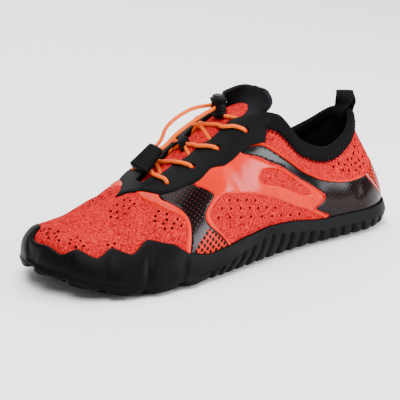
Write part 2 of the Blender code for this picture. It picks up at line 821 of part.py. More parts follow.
def eyestay_inner_edge(t):
    """Girth share of the eyestay's inner edge, with its lobes and the narrow end in front of the throat."""
    swell = sum(size * np.exp(-(((t - middle) / half) ** 2)) for middle, half, size in EYESTAY_LOBES)
    return 1.0 + swell * smoothstep((THROAT_END - t) / 0.02)


def make_eyestay():
    """Scalloped overlay round the throat that holds the eyelets."""
    half = throat_columns()
    low_edge = smooth_rows(np.array(EYESTAY_LOW), half)
    high_edge = eyestay_inner_edge(half)
    shoulder = np.maximum(UPPER_GIRTHS[-2], low_edge + 0.4 * (1 - low_edge))
    v = np.array([low_edge, shoulder, np.ones(half.shape), high_edge])
    places, index = [], []
    for side in (-1, 1):
        index.append(np.arange(v.size).reshape(v.shape) + len(index) * v.size)
        places.append(np.broadcast_to(ring_place(side, half), v.shape).ravel())
    outer_side, inner_side = index
    closed = np.abs(no_overshoot(GAP_RING, ring_place(-1, half))) < 1e-7
    inner_side[-1, closed] = outer_side[-1, closed]
    rr = np.concatenate(places)
    vv = np.tile(v.ravel(), 2)
    points = offset_skin(rr, vv, np.full(rr.shape, 1.2 * CLEARANCE))
    faces = grid_faces(outer_side) + grid_faces(inner_side[:, ::-1])
    obj = shell("eyestay", points, faces, OVERLAY_THICKNESS, 1, "black_fabric")
    punch_eyelets(obj)
    return obj


def make_cuff():
    """Stretch binding folded over the collar edge, from one end of the throat round the heel to the other."""
    half = cuff_columns()
    r = np.concatenate([ring_place(-1, half[::-1]), ring_place(1, half[1:])])
    length = np.linalg.norm(skin(r, 1.0) - skin(r, 0.9), axis=1) / 0.1
    down = CUFF_WIDTH / length
    near, far = 1.5 * CLEARANCE, 1.5 * CLEARANCE + CUFF_THICKNESS
    inside = WALL + 1.6 * CLEARANCE
    section = []
    for share, offset, lift in (
        (1.0, near, 0.0),
        (1.0, far, 0.0),
        (0.5, far, 0.0),
        (0.0, far, 0.3 * CUFF_THICKNESS),
        (0.0, 0.3 * CUFF_THICKNESS, far),
        (0.0, -WALL - 0.3 * CUFF_THICKNESS, far),
        (0.0, -inside - far, 0.3 * CUFF_THICKNESS),
        (0.7, -inside - far, 0.0),
        (0.7, -inside, 0.0),
        (0.0, -inside, near),
        (0.0, near, near),
    ):
        up = skin(r, 1.0) - skin(r, 0.98)
        up /= np.linalg.norm(up, axis=1, keepdims=True)
        section.append(offset_skin(r, 1.0 - down * share, np.full(r.shape, offset)) + up * lift)
    points = np.vstack(section)
    index = np.arange(len(points)).reshape(len(section), len(r)).T
    faces = grid_faces(index, closed=True)
    faces += [tuple(index[0]), tuple(reversed(index[-1]))]
    return mesh_object("collar_cuff", points, faces, "stretch_fabric")


def throat_point(t, across, lift=0.0):
    """Point on the tongue inside the throat: across is 0 at the outer edge and 1 at the inner edge."""
    depth = WALL + 2 * CLEARANCE
    outer, inner = (offset_skin(float(ring_place(side, t)), 1.0, -depth) for side in (-1, 1))
    point = outer + (inner - outer) * across
    crown = TONGUE_CROWN * np.linalg.norm(inner - outer) / 2
    point[2] += crown * (1 - (2 * across - 1) ** 2) + lift
    return point


def tongue_row(t):
    """Across the foot: under the outer edge, over the throat, and under the inner edge."""
    depth = WALL + 2 * CLEARANCE
    outer, inner = (offset_skin(float(ring_place(side, t)), UPPER_GIRTHS[-2], -depth) for side in (-1, 1))
    middle = [throat_point(t, f) for f in (0.0, 0.25, 0.5, 0.75, 1.0)]
    return np.vstack([outer, *middle, inner])


def make_tongue():
    """Padded tongue: it lies under the throat edges and its rounded top stands free above them."""
    inside = [t for t in throat_columns() if TONGUE_HINGE < t < TONGUE_START]
    rows = [tongue_row(t) for t in reversed(inside)]
    spread = np.array([-1.0, -0.8, -0.42, 0.0, 0.42, 0.8, 1.0])
    middle = rows[-1][3][1]
    for along, height, half_width, wrap, drop in TONGUE_TOP:
        rows.append(
            np.stack(
                [
                    along * LENGTH - wrap * BALL_WIDTH * spread**2,
                    middle + half_width * BALL_WIDTH * spread,
                    height * INSTEP_HEIGHT - drop * INSTEP_HEIGHT * spread**2,
                ],
                1,
            )
        )
    face = np.array(rows)
    index = np.arange(face.shape[0] * face.shape[1]).reshape(face.shape[:2])
    return shell("tongue", face.reshape(-1, 3), grid_faces(index), TONGUE_THICKNESS, -1, "mesh_fabric")


def make_keeper():
    """Webbing tab sewn on the tongue at the middle crossing of the lace."""
    _, edge, duck = LACING[2]
    t = (edge + duck) / 2
    run = np.linalg.norm(throat_point(t + 0.01, 0.5) - throat_point(t - 0.01, 0.5)) / 0.02
    gap = np.linalg.norm(throat_point(t, 0.0) - throat_point(t, 1.0))
    across = 0.5 + np.linspace(-0.5, 0.5, 5) * KEEPER_LENGTH / gap
    ends = np.array([-0.5, 0.5]) * KEEPER_WIDTH / run
    points = np.array([[throat_point(t + end, f, 2 * CLEARANCE) for end in ends] for f in across])
    index = np.arange(points.shape[0] * 2).reshape(-1, 2)
    points = points.reshape(-1, 3)
    return shell("tongue_keeper", points, grid_faces(index), KEEPER_THICKNESS, 1, "black_fabric")


# Laces


def lace_over(side, t, v, gaps=3):
    """Middle of the lace where it lies on the eyestay."""
    lift = gaps * CLEARANCE + OVERLAY_THICKNESS + LACE_DIAMETER / 2
    return offset_skin(float(ring_place(side, t)), v, lift)


def strand(side, eyelet, edge, duck):
    """Knots from the eyelet over the throat edge to where the lace goes under the other edge."""
    lift = 5 * CLEARANCE + KEEPER_THICKNESS + LACE_DIAMETER / 2
    knots = [lace_over(side, eyelet, EYELET_GIRTH, 2), lace_over(side, (eyelet + edge) / 2, 0.95)]
    knots.append(lace_over(side, edge, 1.03))
    middle = (edge + duck) / 2
    knots.append(throat_point(middle, 0.5, lift))
    away = 0.78
    knots.append(throat_point(duck, away if side < 0 else 1 - away, lift))
    return knots


def make_crossings():
    """The lace over the throat: one bar in front and three crossings joined in their middle."""
    step = 2.6 * LACE_DIAMETER
    eyelet, edge, _ = LACING[0]
    lift = CLEARANCE + LACE_DIAMETER / 2
    knots = [lace_over(-1, eyelet, EYELET_GIRTH, 2), lace_over(-1, edge, 0.97, 3)]
    knots.append(throat_point(edge, 0.5, lift + OVERLAY_THICKNESS))
    knots += [lace_over(1, edge, 0.97, 3), lace_over(1, eyelet, EYELET_GIRTH, 2)]
    as_mesh(tube("lace_bar", smooth_path(knots, step), LACE_DIAMETER, "lace_cord"))
    for name, run in zip(("lace_cross_front", "lace_cross_middle", "lace_cross_top"), LACING[1:]):
        paths = [smooth_path(strand(side, *run), step) for side in (-1, 1)]
        first = as_mesh(tube(name, paths[0], LACE_DIAMETER, "lace_cord"))
        second = as_mesh(tube(name + "_partner", paths[1], LACE_DIAMETER, "lace_cord"))
        to_cutters(second)
        boolean(first, second, "UNION")


def to_cutters(obj):
    for collection in list(obj.users_collection):
        collection.objects.unlink(obj)
    bpy.data.collections["cutters"].objects.link(obj)
    obj.hide_render = True
    obj.display_type = "WIRE"


def lock_middle():
    """Middle of the cord lock, which stands on the crown of the tongue."""
    t = LACING[3][1]
    foot = throat_point(t, 0.5)
    run = np.linalg.norm(throat_point(t + 0.01, 0.5) - throat_point(t - 0.01, 0.5)) / 0.02
    under = [throat_point(t - share * LOCK_DEPTH / run, 0.5)[2] for share in (0.0, 0.25, 0.5)]
    return np.array([foot[0] - 4 * CLEARANCE, foot[1], max(under) + CLEARANCE + LOCK_HEIGHT / 2])


def beveled_box(name, size, taper, mat, width):
    """A box with rounded edges. taper narrows it across, at its upper end."""
    bpy.ops.mesh.primitive_cube_add(size=1)
    obj = bpy.context.object
    obj.name = name
    for vertex in obj.data.vertices:
        share = 0.5 + vertex.co.z
        narrow = 1 - taper * share
        vertex.co = (vertex.co.x * size[0], vertex.co.y * size[1] * narrow, vertex.co.z * size[2])
    bevel = obj.modifiers.new("edges", "BEVEL")
    bevel.width = width
    bevel.segments = 2
    for collection in list(obj.users_collection):
        collection.objects.unlink(obj)
    obj.data.shade_smooth()
    return finish(obj, mat)


def make_lock():
    """Cord lock: a tapered barrel with a round spring button on top."""
    body_height = LOCK_HEIGHT - LOCK_BUTTON_HEIGHT
    obj = beveled_box("cord_lock", (LOCK_DEPTH, LOCK_WIDTH, body_height), 0.12, "toggle_plastic", 0.0016)
    middle = lock_middle()
    low = middle - np.array([0, 0, LOCK_BUTTON_HEIGHT / 2])
    obj.location = place(low)
    bpy.ops.mesh.primitive_cylinder_add(vertices=16, radius=0.38 * LOCK_WIDTH, depth=2 * LOCK_BUTTON_HEIGHT)
    button = bpy.context.object
    button.name = "lock_button"
    button.location = place(middle + np.array([0, 0, LOCK_HEIGHT / 2 - LOCK_BUTTON_HEIGHT]))
    to_cutters(button)
    boolean(obj, button, "UNION")


def clip_middle():
    return np.array([CLIP_PLACE[0] * LENGTH, 0.0, CLIP_PLACE[1] * INSTEP_HEIGHT])


def clip_turn():
    """Rotation of the clip: its narrow end points up the throat."""
    lean = Matrix.Rotation(math.radians(90 - CLIP_PITCH), 3, "Y")
    roll = Matrix.Rotation(math.radians(CLIP_ROLL), 3, "Z")
    return lean @ roll


def make_clip():
    """Flat tapered clip at the end of the loop. It lies over the front of the lacing."""
    obj = beveled_box("lace_clip", (CLIP_DEPTH, CLIP_WIDTH, CLIP_LENGTH), 0.30, "toggle_plastic", 0.0014)
    obj.matrix_world = Matrix.Translation(Vector(place(clip_middle()))) @ clip_turn().to_4x4()


def make_loops():
    """Both strands of the loop, from the front of the cord lock to the narrow end of the clip."""
    step = 2.6 * LACE_DIAMETER
    lock = lock_middle()
    front = lock[0] + LOCK_DEPTH / 2 + 3 * CLEARANCE
    narrow_end = Vector(place(clip_middle())) + clip_turn() @ Vector((0, 0, CLIP_LENGTH / 2 + 3 * CLEARANCE))
    end = np.array([LENGTH / 2 - narrow_end.x, narrow_end.y, narrow_end.z])
    for name, side, rows in (("lace_loop_outer", -1, LOOP_OUTER), ("lace_loop_inner", 1, LOOP_INNER)):
        knots = [np.array([a * LENGTH, side * LOOP_SPREAD, z * INSTEP_HEIGHT]) for a, z in rows]
        knots[0][0] = front
        knots.append(end + np.array([0, side * 0.75 * LACE_DIAMETER, 0]))
        tube(name, smooth_path(knots, step), LACE_DIAMETER, "lace_cord")
    lift = 2 * CLEARANCE + LACE_DIAMETER / 2
    t = LACING[3][1]
    for name, side in (("lace_end_outer", -1), ("lace_end_inner", 1)):
        start = np.array([lock[0], lock[1] + side * (LOCK_WIDTH / 2 + 1.5 * CLEARANCE), 0])
        start[2] = throat_point(t, 0.5 + 0.22 * side)[2] + lift + CLEARANCE
        knots = [start]
        knots.append(throat_point(t - 0.012, 0.5 + 0.28 * side, lift))
        knots.append(throat_point(t - 0.026, 0.5 + 0.34 * side, lift))
        tube(name, smooth_path(knots, step), LACE_DIAMETER, "lace_cord")


def make_pull():
    """Webbing loop at the back of the collar, sewn inside and outside the cuff."""
    spread = np.linspace(-1, 1, 5)
    ring = np.linspace(-1.5, 1.5, 61)
    across = skin(ring, 1.0)[:, 1]
    order = np.argsort(across)
    r = np.interp(spread * PULL_WIDTH / 2, across[order], ring[order])
    length = np.linalg.norm(skin(0.0, 1.0) - skin(0.0, 0.9)) / 0.1
    down = CUFF_WIDTH / length
    outside = 2.7 * CLEARANCE + CUFF_THICKNESS
    inside = WALL + 4 * CLEARANCE + CUFF_THICKNESS
    lift = np.array([0, 0, CUFF_THICKNESS + 3 * CLEARANCE])
    rows = [offset_skin(r, 1 - 0.8 * down, np.full(r.shape, -inside - CLEARANCE))]
    rows.append(offset_skin(r, 1.0, np.full(r.shape, -inside - CLEARANCE)))
    rim = skin(r, 1.0)
    for forward, up in PULL_LOOP:
        rows.append(rim + lift + np.array([forward * PULL_HEIGHT, 0, up * PULL_HEIGHT]))
    rows.append(offset_skin(r, 1.0, np.full(r.shape, outside)))
    rows.append(offset_skin(r, 1 - 0.8 * down, np.full(r.shape, outside)))
    points = np.array(rows)
    index = np.arange(points.shape[0] * points.shape[1]).reshape(points.shape[:2])
    return shell("heel_pull", points.reshape(-1, 3), grid_faces(index), PULL_THICKNESS, 1, "black_fabric")


# Start of the model


def clear_scene():
    for obj in list(bpy.data.objects):
        bpy.data.objects.remove(obj, do_unlink=True)
    for name in ("water_shoe", "cutters"):
        collection = bpy.data.collections.new(name)
        bpy.context.scene.collection.children.link(collection)
    material("mesh_fabric", (0.72, 0.08, 0.05), 0.85)
    material("black_fabric", (0.012, 0.012, 0.014), 0.8)
    material("stretch_fabric", (0.01, 0.01, 0.012), 0.9)
    material("rubber", (0.014, 0.014, 0.016), 0.6)
    material("insole_foam", (0.02, 0.02, 0.022), 0.9)
    material("lace_cord", (0.9, 0.25, 0.05), 0.6)
    material("toggle_plastic", (0.012, 0.012, 0.013), 0.35)


def centre_on_floor():
    """Move everything so that the middle of the shoe, cords aside, is over the origin on the floor."""
    bpy.context.view_layer.update()
    graph = bpy.context.evaluated_depsgraph_get()
    corners = []
    for obj in bpy.data.collections["water_shoe"].objects:
        if obj.name not in CORD_PIECES:
            world = np.array(obj.matrix_world)
            mesh = obj.evaluated_get(graph).to_mesh()
            points = np.array([vertex.co for vertex in mesh.vertices])
            corners.append(points @ world[:3, :3].T + world[:3, 3])
    corners = np.vstack(corners)
    low, high = corners.min(0), corners.max(0)
    shift = Vector((-(low[0] + high[0]) / 2, -(low[1] + high[1]) / 2, -low[2]))
    for obj in bpy.data.objects:
        obj.location += shift


def main():
    clear_scene()
    make_outsole()
    make_insole()
    make_upper()
    make_eyestay()
    make_cuff()
    make_tongue()
    make_keeper()
    make_crossings()
    make_lock()
    make_clip()
    make_loops()
    make_pull()
    centre_on_floor()


main()
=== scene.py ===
"""Looks of a left water shoe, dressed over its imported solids.

The pieces are lofted from the same last as the solids. Lengths are in metres. The toe points to -X, the
outer side faces -Y, and the origin is on the floor under the middle of the shoe. Places on the upper are
given as a share of the half ring, 0 at the heel and 1 at the toe, and a share of the girth, 0 at the sole
and 1 at the top line.
"""

import math

import bmesh
import bpy
import numpy as np
from bpy.props import FloatProperty, FloatVectorProperty, PointerProperty
from mathutils import Matrix, Vector
from mathutils.geometry import delaunay_2d_cdt

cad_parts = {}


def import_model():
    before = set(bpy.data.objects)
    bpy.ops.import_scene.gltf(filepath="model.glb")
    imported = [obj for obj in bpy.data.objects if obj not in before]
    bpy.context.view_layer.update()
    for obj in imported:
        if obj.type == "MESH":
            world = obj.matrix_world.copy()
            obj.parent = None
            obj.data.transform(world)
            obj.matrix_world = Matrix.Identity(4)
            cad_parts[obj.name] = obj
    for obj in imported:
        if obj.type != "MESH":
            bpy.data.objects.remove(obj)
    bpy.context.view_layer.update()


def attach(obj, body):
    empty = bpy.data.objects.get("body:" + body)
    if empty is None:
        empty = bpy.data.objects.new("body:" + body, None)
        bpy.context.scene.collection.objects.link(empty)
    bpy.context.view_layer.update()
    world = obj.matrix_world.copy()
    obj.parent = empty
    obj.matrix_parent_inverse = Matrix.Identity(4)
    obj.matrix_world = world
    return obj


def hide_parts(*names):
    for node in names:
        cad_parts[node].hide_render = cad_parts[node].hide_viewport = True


bl_info = {
    "name": "Water shoe",
    "version": (1, 0, 0),
    "blender": (4, 5, 0),
    "location": "View3D > Sidebar > Water shoe",
    "description": "Builds the upper, films, rubber, laces and stage of a water shoe",
    "category": "Object",
}

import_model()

# Main sizes of the shoe
LENGTH = 0.281
BALL_WIDTH = 0.1005
HEEL_WIDTH = 0.0685
HEEL_HEIGHT = 0.076
INSTEP_HEIGHT = 0.091
TOE_HEIGHT = 0.045
COLLAR_WIDTH = 0.052
THROAT_WIDTH = 0.028

# Thicknesses and clearances
WALL = 0.0018
CLEARANCE = 0.0003
SOLE_THICKNESS = 0.0077
INSOLE_THICKNESS = 0.004
RAND_THICKNESS = 0.0016
FOXING_THICKNESS = 0.0042
OVERLAY_THICKNESS = 0.0012
CUFF_THICKNESS = 0.0013
TONGUE_THICKNESS = 0.0032
TOE_SPRING = 0.0140
HEEL_SPRING = 0.003

# Sole side and tread
RAND_HEIGHT = 0.0325
RIB_PITCH = 0.0092
RIB_DEPTH = 0.0016
LUG_DEPTH = 0.0022
TREAD_INSET = 0.0035
POD_PITCH = 0.024

# Laces, cord lock, end clip and webbing loops
LACE_DIAMETER = 0.0026
EYELET_RADIUS = 0.0018
LOCK_HEIGHT = 0.015
LOCK_WIDTH = 0.012
LOCK_DEPTH = 0.0085
LOCK_BUTTON_HEIGHT = 0.0022
CLIP_LENGTH = 0.019
CLIP_WIDTH = 0.0165
CLIP_DEPTH = 0.0066
PULL_WIDTH = 0.012
PULL_HEIGHT = 0.0145
PULL_THICKNESS = 0.0014
KEEPER_WIDTH = 0.0078
KEEPER_LENGTH = 0.0085
KEEPER_THICKNESS = 0.0009

# Feather line of the upper, heel to toe. Shares: along of LENGTH, across of the width at that place
FEATHER = (
    # outer along, outer across, inner along, inner across
    (0.016, 0.0, 0.016, 0.0), (0.036, 0.299, 0.036, 0.299), (0.107, 0.474, 0.107, 0.467),
    (0.206, 0.511, 0.206, 0.489), (0.313, 0.524, 0.313, 0.481), (0.42, 0.503, 0.42, 0.433),
    (0.523, 0.487, 0.523, 0.406), (0.623, 0.507, 0.626, 0.433), (0.719, 0.537, 0.726, 0.463),
    (0.808, 0.522, 0.819, 0.448), (0.886, 0.448, 0.893, 0.383), (0.945, 0.289, 0.95, 0.249),
    (0.979, 0.02, 0.979, -0.02),
)

# Top line of the upper, heel to toe: collar, throat and then the ridge of the vamp.
# Shares: along of LENGTH, offset of BALL_WIDTH, heights of HEEL_, INSTEP_ and TOE_HEIGHT,
# half gaps of COLLAR_ and THROAT_WIDTH, lean and shoulder of BALL_WIDTH, rise and drop of INSTEP_HEIGHT
TOP_LINE = (
    # along, offset, heel, instep, toe, collar, throat, lean, rise, shoulder, drop
    (0.094, 0.000, 1.05, 0.00, 0.00, 0.000, 0.000, 0.080, 0.264, 0.000, 0.198),
    (0.105, 0.000, 1.03, 0.00, 0.00, 0.231, 0.000, 0.080, 0.242, 0.000, 0.198),
    (0.157, -0.005, 0.90, 0.00, 0.00, 0.423, 0.000, 0.060, 0.220, 0.020, 0.198),
    (0.235, -0.010, 0.825, 0.00, 0.00, 0.500, 0.000, 0.040, 0.198, 0.030, 0.176),
    (0.313, -0.010, 0.28, 0.555, 0.00, 0.400, 0.190, 0.040, 0.198, 0.040, 0.176),
    (0.377, -0.010, 0.00, 1.004, 0.00, 0.160, 0.450, 0.040, 0.198, 0.100, 0.154),
    (0.463, -0.015, 0.00, 0.99, 0.00, 0.000, 0.500, 0.040, 0.198, 0.179, 0.099),
    (0.552, -0.020, 0.00, 0.85, 0.00, 0.000, 0.430, 0.050, 0.198, 0.219, 0.077),
    (0.651, -0.020, 0.00, 0.692, 0.00, 0.000, 0.320, 0.050, 0.176, 0.259, 0.044),
    (0.740, -0.020, 0.00, 0.300, 0.555, 0.000, 0.000, 0.050, 0.165, 0.259, 0.022),
    (0.808, -0.020, 0.00, 0.120, 0.775, 0.000, 0.000, 0.050, 0.165, 0.239, 0.016),
    (0.861, -0.020, 0.00, 0.030, 0.905, 0.000, 0.000, 0.040, 0.165, 0.179, 0.011),
    (0.893, -0.020, 0.00, 0.000, 0.95, 0.000, 0.000, 0.030, 0.154, 0.149, 0.011),
)
HALF_RING = len(FEATHER) - 1
RING = 2 * HALF_RING

# Top edge of the rubber rand round the upper, as shares of the half ring and of RAND_HEIGHT
RAND_OUTER = (
    (0.0, 0.54), (0.12, 0.52), (0.3, 0.55), (0.385, 0.68), (0.44, 0.71), (0.5, 0.66), (0.555, 0.6),
    (0.6, 0.56), (0.65, 0.66), (0.69, 0.88), (0.74, 0.98), (0.78, 0.79), (0.825, 0.92), (0.858, 0.78),
    (0.905, 0.92), (0.937, 0.82), (0.97, 0.93), (1.0, 0.93),
)
RAND_INNER = (
    (0.0, 0.54), (0.12, 0.52), (0.3, 0.55), (0.385, 0.66), (0.44, 0.7), (0.52, 0.66), (0.6, 0.6),
    (0.66, 0.66), (0.71, 0.84), (0.76, 0.92), (0.8, 0.8), (0.85, 0.9), (0.885, 0.88), (0.91, 1.0),
    (0.94, 1.12), (0.968, 1.14), (0.988, 0.95), (1.0, 0.93),
)
# Height where the side ribs begin, as shares of the half ring and of RAND_HEIGHT
RIB_TOP = ((0.0, 0.32), (0.30, 0.34), (0.44, 0.58), (0.52, 0.42), (0.60, 0.22), (0.66, 0.17), (1.0, 0.17))
RIBBED_SHARE = 0.60
RIB_SLANT = ((0.10, -0.25), (0.30, 0.0), (0.55, 0.75), (0.62, 0.0))

EYESTAY_START = 0.420
# How far its rear edge leans forward, as a share of the half ring
EYESTAY_SLANT = 0.024
# Overlay round the throat: its lower edge, as shares of the half ring and of the girth
EYESTAY_LOW = (
    (EYESTAY_START, 0.735), (0.49, 0.722), (0.526, 0.687), (0.549, 0.684), (0.584, 0.728), (0.612, 0.7),
    (0.658, 0.735), (0.693, 0.765), (0.73, 0.885), (0.765, 0.965), (0.79, 1.0),
)
# Swells of its inner edge: middle and half length as shares of the half ring, size as a share of the girth
EYESTAY_LOBES = ((0.522, 0.030, 0.050), (0.597, 0.015, 0.040), (0.651, 0.015, 0.035), (0.700, 0.010, 0.010))
THROAT_END = 0.725
CUFF_END = 0.408
# Width of the cuff below the rim, by share of the half ring
CUFF_DEPTHS = ((0.0, 0.0056), (0.10, 0.0058), (0.24, 0.0078), (0.36, 0.0102), (1.0, 0.0105))

# Lacing, toe to ankle, as shares of the half ring: eyelet, place where the lace passes the throat
# edge, and place where it goes under the opposite edge
LACING = (
    (0.676, 0.692, 0.692), (0.621, 0.642, 0.686), (0.561, 0.6, 0.632), (0.488, 0.53, 0.568),
)
EYELET_GIRTH = 0.85

# Tongue: where it starts under the vamp and where it leaves the throat, as shares of the half ring
TONGUE_START = 0.755
TONGUE_HINGE = 0.462
TONGUE_CROWN = 0.28
# Girth at which its sides end under the eyestay
TONGUE_GIRTH = 0.84
# Its free top. Shares: along of LENGTH, height of INSTEP_HEIGHT, half width and wrap of BALL_WIDTH,
# edge drop of INSTEP_HEIGHT
TONGUE_TOP = (
    (0.403, 1.06, 0.176, 0.02, 0.065), (0.3925, 1.09, 0.208, 0.04, 0.03), (0.39, 1.125, 0.21, 0.04, 0.026),
    (0.3905, 1.155, 0.172, 0.028, 0.012), (0.3925, 1.172, 0.105, 0.01, 0.003),
)

# Loop of the lace between cord lock and end clip. Shares: along of LENGTH, height of INSTEP_HEIGHT
LOOP_OUTER = ((0.5085, 1.055), (0.546, 1.010), (0.606, 0.920), (0.640, 0.845))
LOOP_INNER = ((0.5085, 1.072), (0.550, 1.066), (0.594, 1.020), (0.623, 0.958), (0.637, 0.880))
LOOP_SPREAD = 0.0026
CLIP_PLACE = (0.681, 0.770)
CLIP_PITCH = 40
CLIP_ROLL = 12
# Heel pull, out from the rim and up, as shares of PULL_HEIGHT
PULL_LOOP = (
    (0.1, 0.14), (0.1, 0.34), (0.02, 0.52), (-0.2, 0.66), (-0.42, 0.6), (-0.48, 0.42), (-0.38, 0.22),
    (-0.24, 0.08),
)


def smoothstep(x):
    x = np.clip(x, 0.0, 1.0)
    return x * x * (3 - 2 * x)


# Curves


def through(p0, p1, p2, p3, f):
    """Share f of the way from p1 to p2 on a smooth curve through four rows."""
    return p1 + 0.5 * f * ((p2 - p0) + f * ((2 * p0 - 5 * p1 + 4 * p2 - p3) + f * (3 * (p1 - p2) + p3 - p0)))


def run_of(points):
    """Length of a path up to each of its points."""
    return np.concatenate([[0], np.cumsum(np.linalg.norm(np.diff(points, axis=0), axis=1))])


def at_run(places, run, points):
    """Points at the given lengths along a path."""
    return np.stack([np.interp(places, run, column) for column in points.T], 1)


def unit(vectors):
    return vectors / np.maximum(np.linalg.norm(vectors, axis=-1, keepdims=True), 1e-12)


def ring_of(outer, inner):
    """One closed ring of rows: outer side from heel to toe, then inner side back to the heel."""
    return np.vstack([outer, inner[-2:0:-1]])


def catmull(ring, r):
    """Smooth closed curve through the rows of ring at the ring places r."""
    r = np.asarray(r, float) % RING
    i = np.floor(r).astype(int)
    return through(*(ring[(i + k) % RING] for k in (-1, 0, 1, 2)), (r - i)[..., None])


def no_overshoot(ring, r):
    """As catmull, but flat where the rows are flat, for the gap of collar and throat."""
    r = np.asarray(r, float) % RING
    i = np.floor(r).astype(int)
    f = r - i
    step = np.roll(ring, -1) - ring
    before = np.roll(step, 1)
    same_way = step * before > 0
    slope = np.where(same_way, 2 * step * before / np.where(same_way, step + before, 1.0), 0.0)
    p1, p2 = ring[i % RING], ring[(i + 1) % RING]
    m1, m2 = slope[i % RING], slope[(i + 1) % RING]
    return (
        (2 * f**3 - 3 * f**2 + 1) * p1
        + (f**3 - 2 * f**2 + f) * m1
        + (3 * f**2 - 2 * f**3) * p2
        + (f**3 - f**2) * m2
    )


def ring_place(side, t):
    """Ring place of share t of the half ring. side is -1 outer, +1 inner."""
    t = np.asarray(t, float)
    return t * HALF_RING if side < 0 else RING - t * HALF_RING


def half_share(r):
    """Share of the half ring, 0 at the heel and 1 at the toe, and the side, of a ring place."""
    r = np.asarray(r, float) % RING
    outer = r <= HALF_RING
    return np.where(outer, r, RING - r) / HALF_RING, np.where(outer, -1.0, 1.0)


def width_at(along):
    """Width of the last at a share of LENGTH: HEEL_WIDTH behind, BALL_WIDTH in front."""
    return HEEL_WIDTH + (BALL_WIDTH - HEEL_WIDTH) * smoothstep((along - 0.30) / 0.32)


def feather_ring():
    along, across, inner_along, inner_across = np.array(FEATHER).T
    outer = np.stack([along * LENGTH, -across * width_at(along)], 1)
    inner = np.stack([inner_along * LENGTH, inner_across * width_at(inner_along)], 1)
    return ring_of(outer, inner)


def top_rings():
    along, offset, heel, instep, toe, collar, throat, lean, rise, shoulder, drop = np.array(TOP_LINE).T
    height = heel * HEEL_HEIGHT + instep * INSTEP_HEIGHT + toe * TOE_HEIGHT
    across = [offset * BALL_WIDTH, height, lean * BALL_WIDTH, rise * INSTEP_HEIGHT]
    shape = np.stack([along * LENGTH, *across, shoulder * BALL_WIDTH, drop * INSTEP_HEIGHT], 1)
    gap = (collar * COLLAR_WIDTH + throat * THROAT_WIDTH)[:, None]
    return ring_of(shape, shape), ring_of(-gap, gap)[:, 0]


FEATHER_RING = feather_ring()
TOP_RING, GAP_RING = top_rings()


def spring(along):
    """How far the underside lifts off the floor, at a distance from the back of the heel."""
    share = along / LENGTH
    toe = TOE_SPRING * np.clip((share - 0.80) / 0.20, 0, 1.2) ** 1.9
    heel = HEEL_SPRING * np.clip((0.07 - share) / 0.07, 0, 1) ** 1.5
    return toe + heel


def bed_height(along):
    return SOLE_THICKNESS + spring(along)


def on_bed(points, lift):
    """The points at a lift over the bed, the flat top of the sole that the foot stands on."""
    points = np.array(points)
    points[..., 2] = bed_height(points[..., 0]) + lift
    return points


def feather(r):
    """Point of the feather line, in (distance from heel, across, height)."""
    plan = catmull(FEATHER_RING, r)
    return np.stack([plan[..., 0], plan[..., 1], bed_height(plan[..., 0]) + CLEARANCE], -1)


def outward(r):
    """Level unit vector that points out of the shoe at a ring place."""
    step = 0.02
    along = catmull(FEATHER_RING, r + step) - catmull(FEATHER_RING, r - step)
    return unit(np.stack([along[..., 1], -along[..., 0], np.zeros(np.shape(r))], -1))


def skin(r, v):
    """Outer face of the upper at ring place r and girth v, 0 at the feather line and 1 at the top line."""
    r, v = np.broadcast_arrays(np.asarray(r, float), np.asarray(v, float))
    low = feather(r)
    shape = catmull(TOP_RING, r)
    top = np.stack([shape[..., 0], shape[..., 1] + no_overshoot(GAP_RING, r), shape[..., 2]], -1)
    out = outward(r)
    low_handle = low + out * shape[..., 3:4]
    low_handle[..., 2] += shape[..., 4]
    away = low - top
    away[..., 2] = 0
    top_handle = top + unit(away) * shape[..., 5:6]
    top_handle[..., 2] -= shape[..., 6]
    v = v[..., None]
    lower = (1 - v) ** 3 * low + 3 * (1 - v) ** 2 * v * low_handle
    return lower + 3 * (1 - v) * v * v * top_handle + v**3 * top


def raw_normal(r, v):
    dr, dv = 0.01, 0.002
    along = skin(r + dr, v) - skin(r - dr, v)
    up = skin(r, v + dv) - skin(r, v - dv)
    return unit(np.cross(along, up))


def skin_normal(r, v):
    """Outward normal, shared by both sides along the closed ridge of the vamp."""
    r, v = np.broadcast_arrays(np.asarray(r, float), np.asarray(v, float))
    normal = raw_normal(r, v)
    closed = (np.abs(no_overshoot(GAP_RING, r)) < 1e-7) & (v > 0.999)
    shared = unit(normal + raw_normal(RING - r, v))
    return np.where(closed[..., None], shared, normal)


def offset_skin(r, v, offset):
    return skin(r, v) + skin_normal(r, v) * np.asarray(offset, float)[..., None]


def place(points):
    """From (distance from heel, across, height) to the shoe's own frame."""
    points = np.asarray(points, float)
    return np.stack([LENGTH / 2 - points[..., 0], points[..., 1], points[..., 2]], -1)


def smooth_path(points, step):
    """Even points along a smooth open curve through the given points."""
    p = np.asarray(points, float)
    ends = np.vstack([2 * p[0] - p[1], p, 2 * p[-1] - p[-2]])
    f = np.linspace(0, 1, 24, endpoint=False)[:, None]
    fine = np.vstack([*(through(*ends[i : i + 4], f) for i in range(len(p) - 1)), p[-1:]])
    run = run_of(fine)
    return at_run(np.linspace(0, run[-1], max(3, int(round(run[-1] / step)) + 1)), run, fine)


def both_sides(half):
    """Ring places of the columns, out along the outer side and back along the inner side."""
    return np.concatenate([ring_place(-1, half), ring_place(1, half[-2:0:-1])])


def girth_at_height(r, height):
    """Girth share where the skin reaches a height, for each ring place."""
    shares = np.linspace(0, 1, 41)
    heights = skin(r[:, None], shares[None, :])[..., 2]
    found = []
    for h, row in zip(height, heights):
        rising = row.argmax() + 1
        found.append(np.interp(h, row[:rising], shares[:rising]))
    return np.array(found)


def rand_height(r):
    t, side = half_share(r)
    outer, inner = (smooth_rows(np.array(rows), t) for rows in (RAND_OUTER, RAND_INNER))
    return np.where(side < 0, outer, inner) * RAND_HEIGHT


